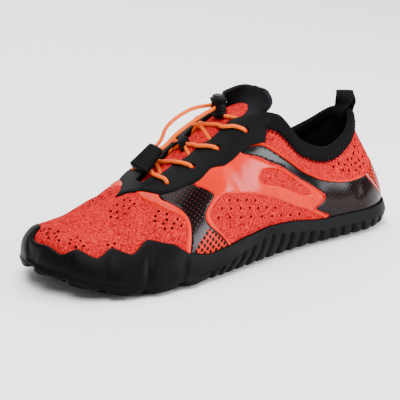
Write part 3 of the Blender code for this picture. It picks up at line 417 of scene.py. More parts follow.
def smooth_rows(rows, t):
    """Eased steps between the rows, so that each row is a crest, a trough or a level."""
    i = np.clip(np.searchsorted(rows[:, 0], t, side="right") - 1, 0, len(rows) - 2)
    f = (t - rows[i, 0]) / (rows[i + 1, 0] - rows[i, 0])
    f = 0.5 * f + 0.5 * smoothstep(f)
    return rows[i, 1] + (rows[i + 1, 1] - rows[i, 1]) * f


def table_at(rows, t):
    rows = np.array(rows)
    return np.interp(t, rows[:, 0], rows[:, 1])


def side_wall(r, height, thickness):
    """Points on the outside of the sole at a height: it follows the upper above the feather line."""
    low = feather(r)
    above = height > low[:, 2]
    v = girth_at_height(r, np.maximum(height, low[:, 2]))
    on_skin = offset_skin(r, v, CLEARANCE + thickness)
    below = low + outward(r) * (CLEARANCE + thickness)[:, None]
    below[:, 2] = height
    return np.where(above[:, None], on_skin, below)


def eyestay_inner_edge(t):
    """Girth share of the eyestay's inner edge, with its lobes and the narrow end in front of the throat."""
    swell = sum(size * np.exp(-(((t - middle) / half) ** 2)) for middle, half, size in EYESTAY_LOBES)
    return 1.0 + swell * smoothstep((THROAT_END - t) / 0.02)


def skin_point(side, t, v, lift):
    """One point over the upper, at share t of the half ring on one side."""
    return offset_skin(float(ring_place(side, t)), v, lift)


def tongue_bed(t, v):
    """Points just under the upper at one girth, outer side first."""
    return [skin_point(side, t, v, -WALL - 2 * CLEARANCE) for side in (-1, 1)]


def throat_point(t, across, lift=0.0):
    """Point on the tongue inside the throat: across is 0 at the outer edge and 1 at the inner edge."""
    outer, inner = tongue_bed(t, 1.0)
    point = outer + (inner - outer) * across
    crown = TONGUE_CROWN * np.linalg.norm(inner - outer) / 2
    point[2] += crown * (1 - (2 * across - 1) ** 2) + lift
    return point


def tongue_row(t):
    """Across the foot: under the outer edge, over the throat, and under the inner edge."""
    outer, inner = tongue_bed(t, TONGUE_GIRTH)
    return np.vstack([outer, *(throat_point(t, f) for f in (0.0, 0.25, 0.5, 0.75, 1.0)), inner])


# From the last's own origin to the middle of the shoe's outline
MIDDLE = Vector((-0.000984684, 0.003736528, 0.0))

# Flat plan of the upper in which its pieces are cut: length of the half ring and of the girth
PLAN_LENGTH = 0.290
PLAN_GIRTH = 0.080

# Cutting patterns on the upper, as shares of the half ring and of the girth
BAND_INNER = (
    (0.74, 0.935), (0.735, 0.89), (0.728, 0.8), (0.715, 0.73), (0.703, 0.68), (0.688, 0.62), (0.67, 0.56),
    (0.657, 0.5), (0.652, 0.445), (0.652, 0.385), (0.656, 0.325), (0.66, 0.265), (0.662, 0.12),
)
BAND_OUTER = (
    (0.698, 0.86), (0.696, 0.74), (0.682, 0.675), (0.667, 0.61), (0.654, 0.545), (0.646, 0.485),
    (0.643, 0.435), (0.643, 0.38), (0.645, 0.31), (0.648, 0.24), (0.65, 0.12),
)
TAIL_OUTER = (
    (0.62, 0.685), (0.608, 0.645), (0.588, 0.575), (0.582, 0.545), (0.59, 0.515), (0.6, 0.485),
    (0.606, 0.45), (0.606, 0.415), (0.599, 0.37), (0.588, 0.325), (0.573, 0.275), (0.558, 0.21),
    (0.545, 0.12),
)
TAIL_INNER = (
    (0.533, 0.12), (0.547, 0.19), (0.564, 0.265), (0.579, 0.325), (0.59, 0.38), (0.596, 0.43),
    (0.591, 0.465), (0.581, 0.493), (0.569, 0.51), (0.553, 0.51), (0.532, 0.485), (0.492, 0.445),
    (0.453, 0.41), (0.41, 0.37), (0.375, 0.335), (0.343, 0.307), (0.325, 0.27), (0.31, 0.225),
    (0.297, 0.185), (0.293, 0.12),
)
QUARTER_TOP = (
    (0.284, 0.12), (0.288, 0.195), (0.305, 0.255), (0.32, 0.295), (0.31, 0.335), (0.298, 0.375),
    (0.292, 0.412), (0.296, 0.455), (0.323, 0.53), (0.357, 0.565), (0.383, 0.572), (0.43, 0.592),
    (0.463, 0.632), (0.5, 0.69), (0.512, 0.745), (0.545, 0.72), (0.575, 0.74), (0.6, 0.745), (0.62, 0.715),
)
QUARTER_WINDOW = (
    (0.463, 0.512), (0.461, 0.54), (0.449, 0.562), (0.43, 0.567), (0.395, 0.556), (0.36, 0.54),
    (0.335, 0.505), (0.325, 0.462), (0.329, 0.44), (0.345, 0.436), (0.378, 0.447), (0.41, 0.46),
    (0.435, 0.468), (0.453, 0.483),
)
STRIP_LOW = (
    (0.47, 0.742), (0.448, 0.735), (0.415, 0.69), (0.383, 0.676), (0.355, 0.676), (0.315, 0.66),
    (0.288, 0.632), (0.25, 0.598), (0.208, 0.548), (0.173, 0.518), (0.152, 0.5),
)
HEEL_TOP = (
    (0.148, 0.484), (0.175, 0.499), (0.21, 0.526), (0.252, 0.577), (0.29, 0.609), (0.318, 0.637),
    (0.355, 0.655), (0.383, 0.656), (0.415, 0.668), (0.45, 0.712), (0.474, 0.724),
)
HEEL_FRONT = (
    (0.51, 0.715), (0.485, 0.672), (0.463, 0.648), (0.43, 0.606), (0.383, 0.586), (0.357, 0.579),
    (0.32, 0.545), (0.288, 0.46), (0.284, 0.412), (0.29, 0.37), (0.303, 0.33), (0.312, 0.297), (0.3, 0.255),
    (0.28, 0.195), (0.276, 0.06),
)
HEEL_BACK = ((0.060, 0.060), (0.087, 0.130), (0.108, 0.215), (0.127, 0.320), (0.140, 0.420), (0.146, 0.470))
PATCH = (
    (0.137, 0.478), (0.132, 0.42), (0.119, 0.32), (0.1, 0.215), (0.079, 0.13), (0.052, 0.06), (0.002, 0.06),
    (0.002, 0.5), (0.06, 0.506), (0.11, 0.498),
)
HEEL_CLEAR = ((0.002, 0.515), (0.060, 0.520), (0.068, 0.590), (0.060, 0.680), (0.052, 0.790), (0.002, 0.810))
FADE = (
    (0.603, 0.35), (0.593, 0.322), (0.576, 0.272), (0.56, 0.205), (0.548, 0.12), (0.6, 0.12), (0.641, 0.13),
    (0.639, 0.21), (0.629, 0.27), (0.612, 0.322),
)

# Round holes through the knit: quarter, collar, vamp and toe
HOLES = (
    (0.545, 0.462), (0.522, 0.435), (0.497, 0.415), (0.475, 0.395), (0.565, 0.435), (0.542, 0.405),
    (0.515, 0.38), (0.49, 0.36), (0.468, 0.345), (0.445, 0.335), (0.422, 0.322), (0.575, 0.39),
    (0.545, 0.355), (0.515, 0.325), (0.487, 0.305), (0.458, 0.285), (0.43, 0.27), (0.405, 0.262),
    (0.38, 0.258), (0.355, 0.255), (0.092, 0.765), (0.092, 0.69), (0.14, 0.78), (0.105, 0.625),
    (0.13, 0.695), (0.155, 0.745), (0.17, 0.718), (0.186, 0.742), (0.202, 0.716), (0.218, 0.76),
    (0.236, 0.75), (0.212, 0.67), (0.195, 0.63), (0.18, 0.665), (0.074, 0.85), (0.104, 0.842),
    (0.122, 0.805), (0.163, 0.655), (0.145, 0.64), (0.172, 0.59), (0.152, 0.585), (0.132, 0.575),
    (0.122, 0.625), (0.768, 0.89), (0.755, 0.84), (0.748, 0.785), (0.79, 0.89), (0.775, 0.83), (0.763, 0.77),
    (0.812, 0.865), (0.795, 0.82), (0.777, 0.745), (0.815, 0.805), (0.797, 0.755), (0.705, 0.635),
    (0.69, 0.59), (0.713, 0.605), (0.67, 0.522), (0.692, 0.548), (0.716, 0.568), (0.679, 0.5),
    (0.701, 0.525), (0.664, 0.462), (0.685, 0.47), (0.7, 0.48), (0.997, 0.62), (0.968, 0.625), (0.99, 0.545),
    (0.972, 0.57), (0.985, 0.49), (0.96, 0.5), (0.975, 0.44), (0.95, 0.44), (0.91, 0.56), (0.924, 0.49),
    (0.899, 0.495), (0.924, 0.425), (0.908, 0.39), (0.89, 0.425), (0.815, 0.47), (0.822, 0.425),
    (0.832, 0.46),
)


# Settings


class WaterShoeSizes(bpy.types.PropertyGroup):
    """Sizes that change the finish of the shoe."""

    film: FloatProperty(
        name="Film", description="Thickness of the welded films", default=0.00035, unit="LENGTH"
    )
    hole: FloatProperty(
        name="Holes", description="Radius of the holes in the knit", default=0.00092, unit="LENGTH"
    )
    stitch: FloatProperty(
        name="Stitch", description="Pitch of the zigzag seams", default=0.0031, unit="LENGTH"
    )
    thread: FloatProperty(
        name="Thread", description="Diameter of the sewing thread", default=0.00045, unit="LENGTH"
    )


class WaterShoeColours(bpy.types.PropertyGroup):
    """Main colours of the shoe."""

    knit: FloatVectorProperty(
        name="Knit", description="Mid tone of the knit", default=(0.44, 0.0072, 0.0074), size=3,
        subtype="COLOR",
    )
    film: FloatVectorProperty(
        name="Film", description="Orange film", default=(0.56, 0.0105, 0.0003), size=3, subtype="COLOR"
    )
    black: FloatVectorProperty(
        name="Black", description="Black trim", default=(0.0018, 0.0018, 0.0021), size=3, subtype="COLOR"
    )
    rubber: FloatVectorProperty(
        name="Rubber", description="Sole and rand", default=(0.0014, 0.0014, 0.0016), size=3, subtype="COLOR"
    )
    lace: FloatVectorProperty(
        name="Lace", description="Elastic cord", default=(0.84, 0.125, 0.0005), size=3, subtype="COLOR"
    )


def sizes():
    return bpy.context.scene.water_shoe_sizes


def colours():
    return bpy.context.scene.water_shoe_colours


# Finishes


class Finish:
    """Node tree of one material, with short calls for the nodes that it uses."""

    def __init__(self, name, roughness, specular):
        self.material = bpy.data.materials.get(name) or bpy.data.materials.new(name)
        self.material.use_nodes = True
        self.tree = self.material.node_tree
        self.tree.nodes.clear()
        self.shader = self.node("BsdfPrincipled")
        self.node("OutputMaterial", self.shader.outputs[0])
        self.set("Roughness", roughness)
        self.set("Specular IOR Level", specular)

    def node(self, kind, *inputs, **named):
        """A new node, with values or links on its inputs in order or by name."""
        made = self.tree.nodes.new("ShaderNode" + kind)
        for place_in, value in [*enumerate(inputs), *named.items()]:
            self.put(made.inputs[place_in], value)
        return made

    def put(self, socket, value):
        if isinstance(value, bpy.types.NodeSocket):
            self.tree.links.new(value, socket)
        elif socket.type == "RGBA":
            socket.default_value = (*value[:3], 1.0)
        else:
            socket.default_value = value

    def set(self, name, value):
        self.put(self.shader.inputs[name], value)

    def math(self, operation, first, second=0.0):
        node = self.node("Math", first, second)
        node.operation = operation
        return node.outputs[0]

    def step(self, value, low, high):
        """Smooth step of a value from low to high."""
        node = self.node("MapRange", value, low, high)
        node.interpolation_type = "SMOOTHSTEP"
        return node.outputs[0]

    def mix(self, share, first, second):
        node = self.node("Mix", share)
        node.data_type = "RGBA"
        self.put(node.inputs[6], first)
        self.put(node.inputs[7], second)
        return node.outputs[2]

    def shade(self, share, colour, low, high):
        """Surface colour between two strengths of one colour."""
        self.set("Base Color", self.mix(share, tint(colour, low), tint(colour, high)))

    def cloth(self):
        """Place on the cloth in millimetres: along, across."""
        node = self.node("Attribute")
        node.attribute_name = "cloth"
        return tuple(self.node("SeparateXYZ", node.outputs["Vector"]).outputs)[:2]

    def join(self, x, y, z=0.0):
        return self.node("CombineXYZ", x, y, z).outputs[0]

    def object_place(self):
        return self.node("TexCoord").outputs["Object"]

    def noise(self, vector, scale, detail=2.0, roughness=0.5):
        node = self.node("TexNoise", Vector=vector, Scale=scale, Detail=detail, Roughness=roughness)
        return node.outputs["Fac"]

    def ridges(self, place_on, pitch):
        """Round ridges, one to each pitch."""
        return self.math("ABSOLUTE", self.math("SINE", self.math("MULTIPLY", place_on, math.pi / pitch)))

    def loops(self, places, pitches):
        """Loops of a knit: ridges both ways."""
        return self.math("MULTIPLY", *(self.ridges(*pair) for pair in zip(places, pitches)))

    def lattice(self, places, pitches, shift):
        """Distance in millimetres from the nearest point of a lattice."""
        squares = []
        for place_on, pitch in zip(places, pitches):
            cell = self.math("FRACT", self.math("ADD", self.math("DIVIDE", place_on, pitch), shift))
            away = self.math("MULTIPLY", self.math("SUBTRACT", cell, 0.5), pitch)
            squares.append(self.math("ABSOLUTE", self.math("POWER", away, 2.0)))
        return self.math("SQRT", self.math("ADD", *squares))

    def dots(self, places, pitches, radius, soft=0.12):
        """1 on the round dots of a staggered pattern, 0 between them."""
        near = self.math("MINIMUM", *(self.lattice(places, pitches, shift) for shift in (0.0, 0.5)))
        return self.step(near, radius + soft, radius - soft)

    def bump(self, height, distance, strength):
        self.set("Normal", self.node("Bump", Strength=strength, Distance=distance, Height=height).outputs[0])


def tint(colour, share):
    return tuple(min(1.0, c * share) for c in colour)


def knit_finish(name="heather_knit"):
    """Melange knit: mixed yarns in rows of loops."""
    finish = Finish(name, 0.9, 0.03)
    u, v = finish.cloth()
    base = np.array(colours().knit)
    field = finish.noise(finish.join(u, v, 5.0), 0.075)
    swirl = finish.math("SINE", finish.math("MULTIPLY", field, 110.0))
    speck = finish.noise(finish.join(u, v, 3.0), 1.15, 2.0, 0.7)
    yarn = finish.math("ADD", finish.math("MULTIPLY", swirl, 0.12), speck)
    tone = finish.mix(finish.step(yarn, 0.36, 0.50), base * (0.52, 0.50, 0.9), base)
    finish.set("Base Color", finish.mix(finish.step(yarn, 0.52, 0.68), tone, base * (1.3, 2.9, 3.2)))
    loops = finish.loops((u, v), (1.05, 0.85))
    finish.bump(finish.math("ADD", loops, finish.math("MULTIPLY", speck, 0.8)), 0.00022, 0.8)
    return finish.material


def lining_finish():
    """Black spacer mesh of the lining."""
    finish = Finish("lining_mesh", 0.9, 0.15)
    open_cells = finish.dots(finish.cloth(), (1.7, 2.4), 0.45, 0.2)
    finish.set("Base Color", finish.mix(open_cells, (0.013, 0.013, 0.014), (0.003, 0.003, 0.003)))
    finish.bump(finish.math("SUBTRACT", 1.0, open_cells), 0.0003, 0.9)
    return finish.material


def film_finish(name, colour, roughness, specular=0.11, dot=None, pitches=None, radius=None, fade=None):
    """Thin welded film. Its printed dots can fade out between two places along the cloth."""
    finish = Finish(name, roughness, specular)
    u, v = finish.cloth()
    waves = finish.noise(finish.join(u, v, 2.0), 0.05)
    tone = finish.mix(finish.step(waves, 0.3, 0.7), tint(colour, 0.93), tint(colour, 1.07))
    height = finish.math("MULTIPLY", finish.noise(finish.join(u, v), 1.6, 2.0, 0.6), 0.35)
    if dot:
        spots = finish.dots((u, v), pitches, radius)
        if fade:
            spots = finish.math("MULTIPLY", spots, finish.step(u, *fade))
        tone = finish.mix(spots, tone, dot)
        height = finish.math("SUBTRACT", height, finish.math("MULTIPLY", spots, 0.6))
    finish.set("Base Color", tone)
    finish.bump(height, 0.00012, 0.5)
    return finish.material


def rubber_finish():
    """Moulded rubber, matt with a slight bloom."""
    finish = Finish("moulded_rubber", 0.45, 0.06)
    bloom = finish.noise(finish.object_place(), 45.0, 3.0, 0.6)
    finish.shade(finish.step(bloom, 0.35, 0.7), colours().rubber, 0.8, 1.5)
    finish.set("Roughness", finish.math("ADD", 0.42, finish.math("MULTIPLY", bloom, 0.2)))
    finish.bump(finish.noise(finish.object_place(), 2600.0, 2.0, 0.6), 0.00008, 0.5)
    return finish.material


def trim_finish():
    """Black synthetic suede of the eyestay."""
    finish = Finish("black_synthetic", 0.62, 0.06)
    grain = finish.noise(finish.object_place(), 900.0, 3.0, 0.65)
    finish.shade(finish.step(grain, 0.3, 0.75), colours().black, 0.7, 1.5)
    finish.bump(grain, 0.0001, 0.7)
    return finish.material


def jersey_finish(name="black_jersey", share=1.0):
    """Fine black jersey over neoprene."""
    finish = Finish(name, 0.9, 0.05)
    loops = finish.loops(finish.cloth(), (0.6, 0.5))
    finish.shade(loops, colours().black, 1.3 * share, 2.8 * share)
    finish.bump(loops, 0.00012, 0.8)
    return finish.material


def webbing_finish():
    """Black woven tape with ribs along its length."""
    finish = Finish("black_webbing", 0.75, 0.08)
    u, v = finish.cloth()
    weave = finish.math("MULTIPLY", finish.math("ADD", finish.ridges(v, 0.8), 0.4), finish.ridges(u, 0.55))
    finish.shade(weave, colours().black, 0.6, 1.5)
    finish.bump(weave, 0.0002, 0.9)
    return finish.material


def lace_finish():
    """Braided elastic cord: two sets of yarns that cross at an angle."""
    finish = Finish("braided_cord", 0.45, 0.10)
    sets = []
    for way in ("ADD", "SUBTRACT"):
        yarn = finish.math("MULTIPLY", finish.math(way, *finish.cloth()), 2 * math.pi / 1.02)
        sets.append(finish.math("SINE", yarn))
    braid = finish.math("MAXIMUM", *sets)
    red, green, blue = colours().lace
    shadow = (red * 0.85, green * 0.62, blue)
    finish.set("Base Color", finish.mix(finish.step(braid, 0.1, 0.9), shadow, (red, green, blue)))
    finish.bump(braid, 0.00012, 0.8)
    return finish.material


def plastic_finish():
    """Moulded nylon of the cord lock and the clip."""
    finish = Finish("moulded_nylon", 0.48, 0.045)
    grain = finish.noise(finish.object_place(), 1800.0)
    finish.shade(grain, colours().black, 0.8, 1.6)
    finish.bump(grain, 0.00006, 0.5)
    return finish.material


def thread_finish(name, colour):
    finish = Finish(name, 0.6, 0.06)
    twist = finish.math("SINE", finish.math("MULTIPLY", finish.cloth()[0], 2 * math.pi / 0.5))
    finish.shade(finish.step(twist, -0.5, 0.8), colour, 0.6, 1.0)
    finish.bump(twist, 0.00005, 0.6)
    return finish.material


# Meshes


def shoe_object(name, points, faces, material, cloth=None, node=None, slot=None, smooth_angle=None):
    """An object that rides on the shoe, from world points, with the place on the cloth of each of them."""
    points = np.reshape(points, (-1, 3))
    mesh = bpy.data.meshes.new(name)
    mesh.from_pydata([tuple(p) for p in points], [], [tuple(int(c) for c in f) for f in faces])
    mesh.materials.append(material)
    if cloth is not None:
        attribute = mesh.attributes.new("cloth", "FLOAT_VECTOR", "POINT")
        data = np.zeros((len(points), 3), np.float32)
        data[:, : np.shape(cloth)[1]] = cloth
        attribute.data.foreach_set("vector", data.ravel())
    mesh.shade_smooth()
    if smooth_angle is not None:
        mesh.set_sharp_from_angle(angle=math.radians(smooth_angle))
    obj = bpy.data.objects.new(name, mesh)
    bpy.context.scene.collection.objects.link(obj)
    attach(obj, "root")
    if node:
        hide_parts(*([node] if isinstance(node, str) else node))
    return obj


def world(points):
    return place(points) + np.array(MIDDLE)


def quads(rows, columns, closed=False, start=0, flip=False):
    """Faces of a grid of points. A closed grid joins its last column to its first."""
    faces = []
    for i in range(rows - 1):
        for j in range(columns if closed else columns - 1):
            k = (j + 1) % columns
            face = [start + i * columns + j, start + i * columns + k]
            face += [start + (i + 1) * columns + k, start + (i + 1) * columns + j]
            faces.append(face[::-1] if flip else face)
    return faces


def cloth_place(r, v):
    """Length along and across the upper in millimetres, for patterns that follow the cloth."""
    return np.stack([np.interp(r, CLOTH_RINGS, CLOTH_RUN), girth_run(r, v)], -1) * 1000


def girth_run(r, v):
    columns = np.asarray(r, float) / RING * (GIRTH_RUNS.shape[0] - 1)
    rows = np.clip(v, 0, 1.1) / 1.1 * (GIRTH_RUNS.shape[1] - 1)
    i = np.clip(np.floor(columns).astype(int), 0, GIRTH_RUNS.shape[0] - 2)
    j = np.clip(np.floor(rows).astype(int), 0, GIRTH_RUNS.shape[1] - 2)
    f, g = columns - i, rows - j
    low = GIRTH_RUNS[i, j] * (1 - g) + GIRTH_RUNS[i, j + 1] * g
    high = GIRTH_RUNS[i + 1, j] * (1 - g) + GIRTH_RUNS[i + 1, j + 1] * g
    return low * (1 - f) + high * f


def run_tables():
    """Lengths along the ring at mid girth, and up the girth at each ring place."""
    rings = np.linspace(0, RING, 481)
    steps = np.linalg.norm(np.diff(skin(rings, 0.45), axis=0), axis=1)
    half = len(steps) // 2
    outer = np.concatenate([[0], np.cumsum(steps[:half])])
    run = np.concatenate([outer, outer[-1] - np.cumsum(steps[half:])])
    sheet = skin(rings[:, None], np.linspace(0, 1.1, 56)[None, :])
    ups = np.linalg.norm(np.diff(sheet, axis=1), axis=2)
    return rings, run, np.concatenate([np.zeros((len(rings), 1)), np.cumsum(ups, axis=1)], axis=1)


CLOTH_RINGS, CLOTH_RUN, GIRTH_RUNS = run_tables()


# How far the knit sinks between toe cap and eyestay
VAMP_DROP = 0.0032

# Soft troughs and ridges: share of the half ring and of the girth, lean, reach, spread, depth
SOFT_FOLDS = (
    (0.735, 0.58, -0.05, 0.012, 0.24, -0.0007), (0.765, 0.66, -0.05, 0.014, 0.22, 0.0005),
    (0.8, 0.7, -0.04, 0.014, 0.2, -0.0005), (0.7, 0.5, 0.02, 0.012, 0.16, 0.0005),
    (0.56, 0.62, 0.1, 0.016, 0.14, 0.0006), (0.52, 0.56, 0.12, 0.014, 0.16, -0.0006),
    (0.47, 0.52, 0.1, 0.018, 0.16, 0.0004), (0.35, 0.3, -0.1, 0.02, 0.14, -0.0006),
    (0.3, 0.34, -0.1, 0.018, 0.14, 0.0004), (0.24, 0.72, 0.2, 0.02, 0.08, -0.0005),
    (0.19, 0.4, -0.1, 0.02, 0.2, -0.0005), (0.11, 0.55, 0.0, 0.018, 0.22, 0.0005),
)


def folds(r, v):
    """Soft ripples of the upper: where the toes bend it, at the collar and under the ankle."""
    t, _ = half_share(r)
    total = np.zeros(np.shape(t))
    for middle, girth, lean, reach, spread, depth in SOFT_FOLDS:
        across = (t - middle - lean * (v - girth)) / reach
        along = (v - girth) / spread
        total = total + depth * np.exp(-(across**2) - along**2)
    low = smoothstep((t - 0.75) / 0.08) * (1 - 0.5 * smoothstep((t - 0.94) / 0.06))
    low = low * smoothstep((v - 0.42) / 0.22) * (1 - smoothstep((v - 0.78) / 0.18))
    return total - VAMP_DROP * low


def on_upper(r, v, offset):
    """World points over the upper's skin, ripples included."""
    lift = np.asarray(offset, float) + folds(r, v)
    return world(offset_skin(r, v, lift * np.ones(np.shape(r))))


def plan(t, v):
    return np.stack([np.asarray(t) * PLAN_LENGTH, np.asarray(v) * PLAN_GIRTH], -1)


def rounded(points, step):
    """Even points along a smooth closed outline through the given points of the plan."""
    p = np.asarray(points, float)
    n = len(p)
    f = np.linspace(0, 1, 16, endpoint=False)[:, None]
    fine = np.vstack([*(through(*(p[(i + k) % n] for k in (-1, 0, 1, 2)), f) for i in range(n)), p[:1]])
    run = run_of(fine)
    return at_run(np.linspace(0, run[-1], max(8, int(run[-1] / step)) + 1)[:-1], run, fine)


def parts(points, size=4000):
    """Slices of a long row of points, so that all the distances of one slice fit in memory."""
    return [slice(start, start + size) for start in range(0, len(points), size)]


def inside(points, loops):
    """True for the points with an odd number of the closed outlines round them."""
    odd = np.zeros(len(points), bool)
    for a in loops:
        b = np.roll(a, -1, axis=0)
        low, high = np.minimum(a[:, 1], b[:, 1]), np.maximum(a[:, 1], b[:, 1])
        for part in parts(points):
            x, y = points[part, 0:1], points[part, 1:2]
            share = (y - a[:, 1]) / np.where(b[:, 1] == a[:, 1], 1, b[:, 1] - a[:, 1])
            hit = (y >= low) & (y < high) & (x < a[:, 0] + share * (b[:, 0] - a[:, 0]))
            odd[part] ^= hit.sum(1) % 2 == 1
    return odd


def edge_distance(points, loops):
    """Distance of each point from the nearest outline."""
    best = np.full(len(points), 1.0)
    for a in loops:
        d = np.roll(a, -1, axis=0) - a
        size = np.maximum((d**2).sum(1), 1e-12)
        for part in parts(points):
            p = points[part, None, :]
            share = np.clip(((p - a) * d).sum(2) / size, 0, 1)
            gap = np.linalg.norm(p - a - share[..., None] * d, axis=2).min(1)
            best[part] = np.minimum(best[part], gap)
    return best


def cut_cloth(loops, free):
    """Triangles of a flat piece: outlines, with windows in them, and free points between."""
    points, edges = [], []
    for loop in loops:
        start = len(points)
        points += [Vector(p) for p in loop]
        edges += [(start + k, start + (k + 1) % len(loop)) for k in range(len(loop))]
    points += [Vector(p) for p in free]
    made = delaunay_2d_cdt(points, edges, [], 0, 1e-7)
    flat = np.array([tuple(p) for p in made[0]])
    faces = [f for f in made[2] if len(f) == 3]
    centres = np.array([flat[list(f)].mean(0) for f in faces])
    keep = inside(centres, loops)
    faces = np.array(faces)[keep]
    used = np.unique(faces)
    number = np.zeros(len(flat), int)
    number[used] = np.arange(len(used))
    return flat[used], number[faces]


# Films: rounding of their edges, how deep the edges are sunk into the knit, and the steps of the mesh
BEVEL = 0.0003
SINK = 0.00012
OUTLINE_STEP = 0.0008
FILM_STEP = 0.0013


def film_piece(name, outline, material, lift, windows=()):
    """A film welded to the upper on both sides of the foot, with soft rounded edges."""
    loops = [rounded(plan(*np.array(each).T), OUTLINE_STEP) for each in (outline, *windows)]
    ring = []
    for loop in loops:
        along = np.roll(loop, -1, axis=0) - np.roll(loop, 1, axis=0)
        normal = unit(np.stack([-along[:, 1], along[:, 0]], 1))
        ring += [loop + normal * BEVEL, loop - normal * BEVEL]
    low, high = loops[0].min(0), loops[0].max(0)
    x, y = np.meshgrid(np.arange(low[0], high[0], FILM_STEP), np.arange(low[1], high[1], FILM_STEP * 0.87))
    x = x + (np.arange(x.shape[0]) % 2)[:, None] * FILM_STEP / 2
    free = []
    for points, clear in ((np.vstack(ring), 0.8), (np.stack([x.ravel(), y.ravel()], 1), 2.4)):
        points = points[inside(points, loops)]
        free.append(points[edge_distance(points, loops) > BEVEL * clear])
    flat, faces = cut_cloth(loops, np.vstack(free))
    height = smoothstep(edge_distance(flat, loops) / BEVEL)
    t, v = flat[:, 0] / PLAN_LENGTH, flat[:, 1] / PLAN_GIRTH
    rings = [ring_place(side, t) for side in (-1, 1)]
    points = np.vstack([on_upper(r, v, -SINK + (lift + SINK) * height) for r in rings])
    cloth = np.vstack([np.hstack([cloth_place(r, v), height[:, None]]) for r in rings])
    faces = np.vstack([faces, faces[:, ::-1] + len(flat)])
    shoe_object(name, points, face_out(points, faces), material, cloth, slot="black_fabric")


# Line through the middle of the foot: toe end, heel end, place across and height
FOOT_LINE = (-0.095, 0.105, 0.001, 0.022)


def away_from_foot(normals, centres):
    """How far each normal points away from the middle of the foot: below 0 it points in."""
    toe, heel, across, up = FOOT_LINE
    core = np.tile([0.0, across, up], (len(centres), 1))
    core[:, 0] = np.clip(centres[:, 0], toe, heel)
    return (normals * (centres - core)).sum(1)


def face_out(points, faces):
    """The triangles turned so that each faces away from the middle of the foot."""
    faces = np.array(faces)
    tri = points[faces]
    normal = np.cross(tri[:, 1] - tri[:, 0], tri[:, 2] - tri[:, 0])
    wrong = away_from_foot(normal, tri.mean(1)) < 0
    faces[wrong] = faces[wrong][:, ::-1]
    return faces


def tubes(name, paths, radius, material, sides, guide=(0.31, 0.2, 0.93), **kinds):
    """Closed round cords or threads along paths of world points, as one piece, their twist kept level."""
    angle = np.linspace(0, 2 * math.pi, sides, endpoint=False)
    points, faces, cloth = [], [], []
    for path in paths:
        path = np.asarray(path, float)
        start = len(points) * sides
        tangent = unit(np.gradient(path, axis=0))
        across = np.cross(tangent[0], guide)
        for point, along in zip(path, tangent):
            across = unit(across - along * (across @ along))
            side = np.cross(along, across)
            points.append(point + radius * (np.cos(angle)[:, None] * across + np.sin(angle)[:, None] * side))
        cloth.append(np.stack([np.repeat(run_of(path), sides), np.tile(angle * radius, len(path))], 1) * 1000)
        last = len(points) * sides - sides
        faces += quads(len(path), sides, closed=True, start=start)
        faces += [[start + k for k in reversed(range(sides))], [last + k for k in range(sides)]]
    return shoe_object(name, points, faces, material, np.vstack(cloth), **kinds)


def resample(rows, count):
    """Smooth rows of points: rows by anything, brought to count rows."""
    rows = np.asarray(rows, float)
    p = rows.reshape(len(rows), -1)
    ends = np.vstack([2 * p[0] - p[1], p, 2 * p[-1] - p[-2]])
    place_on = np.linspace(0, len(p) - 1, count)
    i = np.clip(np.floor(place_on).astype(int), 0, len(p) - 2)
    out = through(*(ends[i + k] for k in range(4)), (place_on - i)[:, None])
    return out.reshape(count, *rows.shape[1:])


def resample_both(grid, rows, columns):
    """A smooth grid of points brought to a number of rows and columns."""
    made = resample(grid, rows)
    return np.swapaxes(resample(np.swapaxes(made, 0, 1), columns), 0, 1)


def grid_normals(grid):
    """Unit normals of a grid of points, rows by columns."""
    return unit(np.cross(np.gradient(grid, axis=0), np.gradient(grid, axis=1)))


def recalculate(obj):
    """Face normals of closed bodies outwards."""
    mesh = bmesh.new()
    mesh.from_mesh(obj.data)
    bmesh.ops.recalc_face_normals(mesh, faces=mesh.faces)
    mesh.to_mesh(obj.data)
    mesh.free()


def fix_sides(obj):
    """Turn all faces of a sheet outwards, away from the foot."""
    polygons = obj.data.polygons
    centres, normals = np.zeros((len(polygons), 3)), np.zeros((len(polygons), 3))
    polygons.foreach_get("center", centres.ravel())
    polygons.foreach_get("normal", normals.ravel())
    if (away_from_foot(normals, centres) < 0).mean() > 0.5:
        obj.data.flip_normals()


def padded_sheet(name, grid, thickness, material, cloth, **kinds):
    """A closed soft sheet: the grid is its middle, and thickness has a row of values for each row of it."""
    rows, columns = grid.shape[:2]
    size = rows * columns
    half = grid_normals(grid) * thickness[..., None] / 2
    faces = quads(rows, columns) + quads(rows, columns, start=size, flip=True)
    border = [(0, j) for j in range(columns)] + [(i, columns - 1) for i in range(1, rows)]
    border += [(rows - 1, j) for j in reversed(range(columns - 1))]
    border += [(i, 0) for i in reversed(range(1, rows - 1))]
    numbers = [i * columns + j for i, j in border]
    faces += [[b, a, size + a, size + b] for a, b in zip(numbers, numbers[1:] + numbers[:1])]
    cloth = np.vstack([cloth.reshape(-1, cloth.shape[-1])] * 2)
    recalculate(shoe_object(name, [grid + half, grid - half], faces, material, cloth, **kinds))


# Upper


def circle_loop(t, v, side, radius):
    """A round hole in the plan of the ring, true to size on the foot."""
    r = float(ring_place(side, t))
    per_ring = np.linalg.norm(skin(r + 0.05, v) - skin(r - 0.05, v)) / 0.1
    per_girth = np.linalg.norm(skin(r, v + 0.01) - skin(r, v - 0.01)) / 0.02
    angle = np.linspace(0, 2 * math.pi, 9)[:-1] + 0.39
    return np.stack([r + radius / per_ring * np.cos(angle), v + radius / per_girth * np.sin(angle)], 1)


